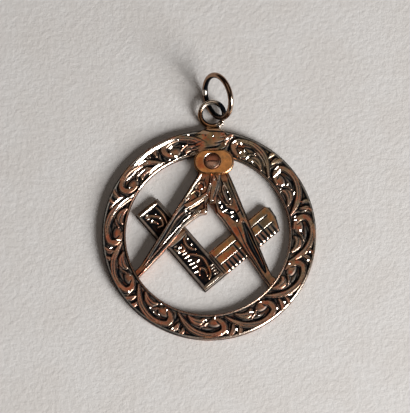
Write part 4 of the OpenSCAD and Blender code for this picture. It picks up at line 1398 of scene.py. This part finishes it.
class PENDANT_OT_compass_legs(Operator):
    """Makes the two engraved legs of the compasses"""

    bl_idname = "pendant.compass_legs"
    bl_label = "Legs of the compasses"

    def execute(self, context):
        scene = context.scene
        bars, finish = scene.pendant_bars, scene.pendant_finish
        onto, _ = to_square(bars)
        material = engraved_gold("Compass gold", finish.gold, finish)
        lap_top = bars.square_top / MM + FIT_GAP

        def back_z(x, y):
            u, v = onto(x, y)
            arm = ARM_W + FIT_GAP
            over_ruled = (u > -FIT_GAP) & (u < ARM_REACH) & (v > -FIT_GAP) & (v < arm)
            over_engraved = (u > -ARM_STEP - FIT_GAP) & (u < arm) & (v > 0) & (v < ARM_REACH)
            return np.where(over_ruled | over_engraved, lap_top, bars.back / MM)

        legs = (
            ("left_leg", LEFT_RUNGS, LEFT_LEG, bars.left_top),
            ("right_leg", RIGHT_RUNGS, RIGHT_LEG, bars.right_top),
        )
        low = scene.pendant_ring.thickness / MM

        def tip_slope(x, y, top):
            reach = scene.pendant_ring.opening / MM / 2 - np.hypot(x + scene.pendant_ring.shift / MM, y)
            return low + (top - low) * np.clip(reach / TIP_SLOPE_L, 0, 1)

        for name, rungs, tables, height in legs:

            def carve(x, y, first, last, tables=tables, top=height / MM):
                panels, ridges, cuts, scores, flashes, facets, tones = tables
                relief = Relief(x, y, np.full(x.shape, top))
                for outline, soil in panels:
                    relief.sink(outline, bars.panel / MM, soil)
                for rows in ridges:
                    relief.ridge(rows, top - RIDGE_DROP, shoulder=0.08)
                for rows in cuts:
                    relief.cut(rows)
                for rows in scores:
                    relief.cut(rows, 0.4, 0.0)
                relief.z -= LEG_BEVEL[1] * np.clip(1 - np.minimum(first, last) / LEG_BEVEL[0], 0, 1)
                for gleam, steepness, rows in flashes:
                    relief.flash(rows, gleam, steepness)
                for row in facets:
                    relief.facet(*row)
                for row in tones:
                    relief.tint(*row)
                self.darken_and_light_edges(relief, first, last)
                relief.z = np.minimum(relief.z, tip_slope(x, y, top))
                return relief, None

            bar(name, rungs, bars.pitch / MM, LEG_COLUMNS, carve, back_z, material, "compasses_gold",
                "compasses", opening_clip(scene.pendant_ring))
        return {"FINISHED"}

    @staticmethod
    def darken_and_light_edges(relief, first, last):
        """Darkens the outer edges. Below the step, the inner ones get a dark band and a painted highlight
        along a thin line.
        """
        relief.soil = np.maximum(relief.soil, OUTER_EDGE_DARKNESS * within(first, *OUTER_EDGE))
        band = between(last, *INNER_BAND) * within(relief.y, INNER_BAND_TOP, 0.8)
        relief.soil = np.maximum(relief.soil, INNER_BAND_DARKNESS * band)
        relief.shine *= 1 - band
        # Painted highlight along the inner edge
        keen = mix(*INNER_EDGE_HIGHLIGHTS, beyond(relief.y, 0.2, 0.6)) * within(relief.y, INNER_EDGE_TOP, 0.2)
        relief.shine = np.maximum(relief.shine, keen * within(last, *INNER_EDGE))


class PENDANT_OT_square(Operator):
    """Makes the square, with its engraved arm and its ruled arm"""

    bl_idname = "pendant.square"
    bl_label = "Square"

    def execute(self, context):
        bars, finish = context.scene.pendant_bars, context.scene.pendant_finish
        _, back = to_square(bars)
        top = bars.square_top / MM

        def carve(x, y, first, last):
            relief = Relief(x, y, np.full(x.shape, top), FACET_AZIMUTH - math.degrees(bars.turn))
            steps = (LONG_LINES[0] - 0.05, LONG_LINES[0], LONG_LINES[1] - 0.05, LONG_LINES[1])
            strips = np.interp(y, steps, (STRIP_SOILS[0], STRIP_SOILS[1], STRIP_SOILS[1], STRIP_SOILS[2]))
            relief.soil[:] = np.where(x > RULER_START, strips, BORDER_SOIL)
            for x0, y0, x1, y1 in PANELS:
                inside = np.minimum.reduce([x - x0, x1 - x, y - y0, y1 - y])
                share = ease(inside / PANEL_WALL + 0.5)
                relief.z -= bars.panel / MM * share
                relief.soil = np.maximum(relief.soil, PANEL_SOIL * share)
            for rows in SQUARE_RIDGES:
                relief.ridge(rows, top - RIDGE_DROP, shoulder=0.1)
            for rows in SQUARE_CUTS:
                relief.cut(rows)
            for row in SQUARE_HATCHES:
                relief.hatch(*row)
            self.rule(relief)
            for gleam, steepness, rows in SQUARE_FLASHES:
                relief.flash(rows, gleam, steepness)
            for row in SQUARE_FACETS:
                relief.facet(*row)
            for row in SQUARE_TONES:
                relief.tint(*row)
            relief.z -= EDGE_BEVEL[1] * np.clip(1 - np.minimum(first, last) / EDGE_BEVEL[0], 0, 1)
            return relief, back

        def lean_out(x, y):
            past = np.interp(y, *np.array(RULER_END).T)
            return x + past * ease(x - RULER_LINE + 1), y

        def back_z(x, y):
            return np.full(x.shape, bars.back / MM)

        material = engraved_gold("Square gold", finish.square, finish)
        bar("square_arms", SQUARE_RUNGS, bars.pitch / MM, SQUARE_COLUMNS, carve, back_z, material,
            "square_gold", "square", lean_out)
        return {"FINISHED"}

    @staticmethod
    def rule(relief):
        """Cuts the long lines and the marks of the ruler."""
        start, end = LONG_LINE_SPAN
        for across in LONG_LINES:
            relief.cut([(along, across, LONG_LINE_W) for along in (start, 8, end)], gleam=0.75)
        count = int((end - start) / MARK_PITCH)
        for i in range(1, count + 1):
            along = start + i * MARK_PITCH
            reach = LONG_LINES[1 if i in CROSS_MARKS else 0] - 0.1
            mark = ((along, -0.2, MARK_W), (along, reach / 2, MARK_W), (along, reach, MARK_W * 0.6))
            relief.cut(mark, gleam=0.05)
            relief.tint(along, 0.6, 0.3, 0.7)
            # A facet with a painted highlight between marks
            relief.facet(along - MARK_PITCH / 2, 0.12, 0.13, 0.1, 10 * math.sin(i * 1.9), gleam=0.8)
        relief.cut(END_CUT, gleam=0.2)


class PENDANT_OT_head(Operator):
    """Makes the oval head of the compasses"""

    bl_idname = "pendant.head"
    bl_label = "Head of the compasses"

    def execute(self, context):
        scene = context.scene
        head, finish = scene.pendant_head, scene.pendant_finish
        top = head.top / MM
        back = scene.pendant_ring.thickness / MM + FIT_GAP
        sink = head.screw / MM / 2 - SINK_TRIM
        cx, cy = head.screw_at[0] / MM, head.screw_at[1] / MM
        face = np.linspace(0, 1, HEAD_COLUMNS + 1)
        # Share of the way from the sink to the rim plus 1, and height, of the face, the side, the back and
        # the sink's wall
        profile = [(1 + s, top) for s in face]
        profile += [(2, 1.5), (2, back + 0.05), (1.98, back), (1.3, back), (1.0, back), (0.99, 1.3),
                    (1.0, 1.5)]
        bm, step, point = wrapped(len(profile), HEAD_STEPS)
        angle = np.arange(HEAD_STEPS) * math.tau / HEAD_STEPS
        rim = self.outline(head, angle, cx, cy)
        radius = mix(sink, rim[:, None], face)
        x, y = cx + radius * np.cos(angle)[:, None], cy + radius * np.sin(angle)[:, None]
        from_rim, from_sink = rim[:, None] - radius, radius - sink
        z = top - HEAD_CROWN[1] * np.clip(1 - from_rim / HEAD_CROWN[0], 0, 1) ** 2
        z -= SINK_BEVEL[1] * np.clip(1 - from_sink / SINK_BEVEL[0], 0, 1)
        z += 0.012 * np.sin(x * 3.1 + 1) * np.cos(y * 2.7)
        relief = Relief(x.ravel(), y.ravel(), z.ravel())
        # Painted highlight in a crescent on the sink's wall, on the side that faces the light
        crescent = np.clip(1.9 - np.abs(angle - head.crescent) / 0.5, 0, 1)[:, None]
        relief.shine = (crescent * within(from_sink, 0.13, 0.05)).ravel()
        for row in HEAD_TONES:
            relief.tint(*row)
        coats = masks(relief, z.shape, True)
        known = np.array(profile)
        reach = mix(sink, rim[step], np.clip(known[point, 0] - 1, 0, 1))
        layers = turned_layers(step, point, angle, reach, known[point, 1], z, coats, SIDE_DARKNESS, (cx, cy))
        layered(bm, *layers)
        material = engraved_gold("Head gold", finish.head, finish, mottle=0.2, drift=0.35)
        piece(bm, "compass_head", material, "compasses_gold", "compasses")
        return {"FINISHED"}

    @staticmethod
    def outline(head, angle, cx, cy):
        """Reach of the oval from the screw at each angle: round ends joined by flat sides."""
        r = head.width / MM / 2
        flat = head.length / MM / 2 - r
        hx, hy = head.at[0] / MM, head.at[1] / MM
        turn = np.linspace(0, math.tau, 2000, endpoint=False)
        x = hx + np.where(np.cos(turn) > 0, flat, -flat) + r * np.cos(turn)
        y = hy + r * np.sin(turn)
        flat_x = np.linspace(-flat, flat, 300)
        x = np.concatenate([x, hx + flat_x, hx + flat_x])
        y = np.concatenate([y, np.full(300, hy + r), np.full(300, hy - r)])
        around = np.arctan2(y - cy, x - cx) % math.tau
        order = np.argsort(around)
        return np.interp(angle, around[order], np.hypot(x - cx, y - cy)[order], period=math.tau)


class PENDANT_OT_screw(Operator):
    """Makes the slotted screw"""

    bl_idname = "pendant.screw"
    bl_label = "Pivot screw"

    def execute(self, context):
        head, finish = context.scene.pendant_head, context.scene.pendant_finish
        low, high = box_mm("pivot_screw")
        r, shank = head.screw / MM / 2 - SCREW_TRIM, head.shank / MM / 2
        seat = high.z - SCREW_SEAT
        out = np.arange(SCREW_COLUMNS) / SCREW_COLUMNS
        # Radius and height down the section: the dome, the side, the seat and the shank
        profile = [(r * s, high.z - SCREW_DOME * s**2) for s in out]
        profile += [(r, high.z - SCREW_SIDE), (r, seat), (shank, seat), (shank, low.z), (0, low.z)]
        bm, step, point = wrapped(len(profile), SCREW_STEPS)
        known = np.array(profile)
        turn = step * math.tau / SCREW_STEPS
        radius, z = known[point, 0], known[point, 1]
        x, y = radius * np.cos(turn), radius * np.sin(turn)
        on_top = z > high.z - SCREW_SIDE - 0.01
        slot = head.slot / MM / 2 - 0.01
        inside = within(np.abs(y), slot, 0.06) * within(np.abs(x), SLOT_LENGTH * r, 0.1)
        z = z - np.where(on_top, SLOT_DEPTH * inside, 0)
        edge = beyond(radius / r, 0.88, 0.12)
        lathe_marks = 0.06 * np.cos(radius / r * 9)
        grime_and_shade = np.where(on_top, 0.1 + 0.55 * inside + 0.6 * edge + lathe_marks, 0.9)
        # A painted glint by the screw's edge
        from_glint = (x - GLINT_AT[0]) ** 2 + (y - GLINT_AT[1]) ** 2
        glint = np.exp(-from_glint / GLINT_SPREAD) * on_top
        layers = {"grime_and_shade": np.clip(grime_and_shade, 0, 1), "wear": np.zeros(len(x)), "shine": glint,
                  "tone": on_top * np.where(y > 0, 0.5, -0.2)}
        places = np.stack([x + head.screw_at[0] / MM, y + head.screw_at[1] / MM, z], axis=1)
        layered(bm, places, layers)
        material = engraved_gold("Screw gold", finish.screw, finish, drift=0.0)
        piece(bm, "pivot_screw_head", material, "screw_gold", "pivot_screw")
        return {"FINISHED"}


class PENDANT_OT_bail(Operator):
    """Makes the bail loop, its neck and the tongue that takes the screw"""

    bl_idname = "pendant.bail"
    bl_label = "Bail loop"

    def execute(self, context):
        scene = context.scene
        wires, finish = scene.pendant_wires, scene.pendant_finish
        wire = wires.bail_wire / MM / 2
        loop = wires.bail_bore / MM / 2 + wire
        bm = torus(loop, wire, steps=120, sides=20)
        foot = Vector(wires.bail_foot) / MM
        lifted = Matrix.Translation(foot) @ Matrix.Rotation(wires.bail_lift, 4, "X")
        place = lifted @ Matrix.Translation((0, loop, 0))
        bmesh.ops.transform(bm, matrix=place, verts=bm.verts)
        self.neck(bm, foot)
        for x, y, z, r in SOLDER_BEADS:
            bmesh.ops.create_icosphere(bm, subdivisions=3, radius=r, matrix=Matrix.Translation((x, y, z)))
        bmesh.ops.scale(bm, vec=(MM,) * 3, verts=bm.verts)
        # Painted highlights on the loop's upper left and by its solder, and darker towards its upper right
        wear = LoopWearAndLight(middle=tuple(place.translation * MM), radius=loop * MM, wire=wire * MM,
                        rubbed=(-0.45, 0.9, 0.0), soiled=(0.8, 0.55, 0.0),
                        spark=(0.0016, 0.01495, 0.0009), reach=0.0007)
        material = engraved_gold("Bail gold", finish.bail, finish, 0.35, 0.4, relief=False, loop=wear)
        obj = piece(bm, "bail_loop", material, "ring_gold", "ring_frame")
        fused = obj.modifiers.new("Fused", "REMESH")
        fused.mode = "VOXEL"
        fused.voxel_size = wires.solder_grain
        fused.use_smooth_shade = True
        filleted = obj.modifiers.new("Filleted", "SMOOTH")
        filleted.factor = 0.5
        filleted.iterations = 16
        self.tongue(scene, material)
        return {"FINISHED"}

    @staticmethod
    def neck(bm, foot):
        """The pad that flares from the loop down to the ring."""
        face = bm.faces.new([bm.verts.new((foot.x + x, y, 0.1)) for x, y in PAD_OUTLINE])
        raised = bmesh.ops.extrude_face_region(bm, geom=[face])
        top = [g for g in raised["geom"] if isinstance(g, bmesh.types.BMVert)]
        for vert in top:
            rise, drop = beyond(vert.co.y, 13.1, 0.6), beyond(vert.co.y, 14.0, 0.8)
            vert.co.z = mix(*PAD_HEIGHTS, rise) - PAD_DROP * drop

    @staticmethod
    def tongue(scene, material):
        """The tongue below the head, drilled for the screw."""
        head, ring = scene.pendant_head, scene.pendant_ring
        x, y = head.screw_at[0] / MM, head.screw_at[1] / MM
        bore = head.shank / MM / 2 + BORE_GAP
        height = ring.thickness / MM - FIT_GAP
        half_width, length = 0.9, 1.3
        in_bore = np.array([True, False, False, True])
        level = np.array([0, 0, height, height])
        steps = 96
        bm, step, point = wrapped(len(level), steps)
        turn = step * math.tau / steps
        c, s = np.cos(turn), np.sin(turn)
        straight = np.minimum(half_width / np.maximum(np.abs(c), 1e-6), length / np.maximum(s, 1e-6))
        out = np.where(in_bore[point], bore, np.where(s > 1e-6, straight, half_width))
        layered(bm, np.stack([x + out * c, y + out * s, level[point]], axis=1), {})
        piece(bm, "screw_tongue", material, "ring_gold", "ring_frame")


def torus(ring, wire, steps, sides):
    """A ring of round wire."""
    bm = bmesh.new()
    circle = bmesh.ops.create_circle(bm, segments=sides, radius=wire)
    turn = Matrix.Translation((ring, 0, 0)) @ Matrix.Rotation(math.pi / 2, 4, "X")
    bmesh.ops.transform(bm, matrix=turn, verts=circle["verts"])
    geom = bm.verts[:] + bm.edges[:]
    axis, middle = (0, 0, 1), (0, 0, 0)
    bmesh.ops.spin(bm, geom=geom, axis=axis, cent=middle, angle=math.tau, steps=steps, use_merge=True)
    return bm


class PENDANT_OT_jump_ring(Operator):
    """Makes the jump ring"""

    bl_idname = "pendant.jump_ring"
    bl_label = "Jump ring"

    def execute(self, context):
        wires, finish = context.scene.pendant_wires, context.scene.pendant_finish
        wire = wires.jump_wire / MM / 2
        loop = wires.jump_bore / MM / 2 + wire
        bm = torus(loop, wire, steps=240, sides=32)
        lean = Matrix.Rotation(wires.jump_turn, 4, "Z") @ Matrix.Rotation(wires.jump_lean, 4, "Y")
        low, high = box_mm("jump_ring")
        place = Matrix.Translation((low + high) / 2) @ lean
        bmesh.ops.transform(bm, matrix=Matrix.Scale(MM, 4) @ place, verts=bm.verts)
        # Painted highlights along the ring's right and at a spot on its left, painted shade on its lower
        # part
        wear = LoopWearAndLight(middle=tuple((low + high) / 2 * MM), radius=loop * MM, wire=wire * MM,
                        rubbed=(0.95, -0.1, 0.0), soiled=(-0.5, -0.85, 0.0),
                        spark=(-0.0007, 0.0190, 0.0012), reach=0.0004)
        material = engraved_gold("Wire gold", finish.wire, finish, drift=0.2, relief=False, loop=wear)
        piece(bm, "jump_ring_wire", material, "wire_gold", "jump_ring")
        return {"FINISHED"}


class PENDANT_OT_studio(Operator):
    """Makes the paper, the lights and the camera"""

    bl_idname = "pendant.studio"
    bl_label = "Studio"

    def execute(self, context):
        scene = context.scene
        view = scene.pendant_studio
        self.camera(scene, view)
        self.paper()
        flat = math.cos(view.key_elevation)
        key = view.key_distance * Vector((math.cos(view.key_azimuth) * flat,
                                          math.sin(view.key_azimuth) * flat, math.sin(view.key_elevation)))
        self.panel("Key light", key, view.key_size, view.key_power, view.key_colour)
        mirrored = Vector((0, math.cos(view.elevation), math.sin(view.elevation)))
        top = mirrored * view.top_distance
        self.panel("Top light", top, view.top_size, view.top_power, view.top_colour)
        world = bpy.data.worlds.new("Dim room")
        world.use_nodes = True
        world.node_tree.nodes["Background"].inputs["Color"].default_value = (*view.room, 1)
        scene.world = world
        scene.view_settings.view_transform = "Standard"
        return {"FINISHED"}

    @staticmethod
    def camera(scene, view):
        """A camera at the photograph's angle, with the ring's middle on its pixel."""
        data = bpy.data.cameras.new("Photo view")
        camera = bpy.data.objects.new("Photo view", data)
        scene.collection.objects.link(camera)
        to_camera = Vector((0, -math.cos(view.elevation), math.sin(view.elevation)))
        right = Vector((1, 0, 0))
        up = to_camera.cross(right)
        ring_middle = Vector((0, 0, scene.pendant_ring.thickness))
        across = (view.width_px / 2 - view.ring_px[0]) * view.pixel
        upwards = (view.ring_px[1] - view.height_px / 2) * view.pixel
        aim = ring_middle + right * across + up * upwards
        turn = Matrix((right, up, to_camera)).transposed().to_4x4()
        camera.matrix_world = Matrix.Translation(aim + to_camera * view.distance) @ turn
        data.sensor_width = 36
        data.lens = data.sensor_width * view.distance / (max(view.width_px, view.height_px) * view.pixel)
        data.clip_start, data.clip_end = 0.01, 5
        scene.camera = camera

    @staticmethod
    def panel(name, place, size, power, colour):
        """A square light that faces the pendant."""
        data = bpy.data.lights.new(name, "AREA")
        data.size, data.energy, data.color = size, power, colour
        light = bpy.data.objects.new(name, data)
        bpy.context.scene.collection.objects.link(light)
        turn = place.to_track_quat("Z", "Y").to_matrix().to_4x4()
        light.matrix_world = Matrix.Translation(place) @ turn

    @staticmethod
    def paper():
        """The sheet of pale paper under the pendant."""
        bm = bmesh.new()
        bmesh.ops.create_grid(bm, x_segments=1, y_segments=1, size=1.5)
        mesh = bpy.data.meshes.new("Paper")
        bm.to_mesh(mesh)
        bm.free()
        paper = bpy.data.objects.new("Paper", mesh)
        bpy.context.scene.collection.objects.link(paper)
        material = bpy.data.materials.new("Pale paper")
        material.use_nodes = True
        tree = material.node_tree
        shader = tree.nodes["Principled BSDF"]
        place = node(tree, "ShaderNodeTexCoord").outputs["Object"]
        fibre = noise(tree, place, 1400.0, 5.0, 0.65)
        cloud = ranged(tree, noise(tree, place, 160.0, 2.0), 0.35, 0.65)
        tone = blended(tree, cloud, (0.78, 0.755, 0.735), (0.81, 0.795, 0.785))
        grain = blended(tree, ranged(tree, fibre, 0.3, 0.7, 0.0, 0.35), tone, (0.7, 0.665, 0.64))
        bump = node(tree, "ShaderNodeBump", {"Height": fibre, "Strength": 0.8, "Distance": 0.00012})
        tree.links.new(grain, shader.inputs["Base Color"])
        tree.links.new(bump.outputs[0], shader.inputs["Normal"])
        shader.inputs["Roughness"].default_value = 0.85
        mesh.materials.append(material)


OPERATORS = (
    PENDANT_OT_studio,
    PENDANT_OT_ring,
    PENDANT_OT_compass_legs,
    PENDANT_OT_square,
    PENDANT_OT_head,
    PENDANT_OT_screw,
    PENDANT_OT_bail,
    PENDANT_OT_jump_ring,
)


class PENDANT_PT_pieces(Panel):
    """Lists the pieces of the pendant"""

    bl_label = "Pendant"
    bl_idname = "PENDANT_PT_pieces"
    bl_space_type = "VIEW_3D"
    bl_region_type = "UI"
    bl_category = "Pendant"

    def draw(self, context):
        for operator in OPERATORS:
            self.layout.operator(operator.bl_idname)


def register():
    for cls in (*GROUPS.values(), *OPERATORS, PENDANT_PT_pieces):
        bpy.utils.register_class(cls)
    for name, cls in GROUPS.items():
        setattr(bpy.types.Scene, name, PointerProperty(type=cls))


def unregister():
    for name in GROUPS:
        delattr(bpy.types.Scene, name)
    for cls in (PENDANT_PT_pieces, *reversed(OPERATORS), *reversed(tuple(GROUPS.values()))):
        bpy.utils.unregister_class(cls)


def main():
    """Makes every piece in order."""
    register()
    for operator in OPERATORS:
        family, name = operator.bl_idname.split(".")
        getattr(getattr(bpy.ops, family), name)()
    bpy.context.view_layer.update()


if __name__ == "__main__":
    main()
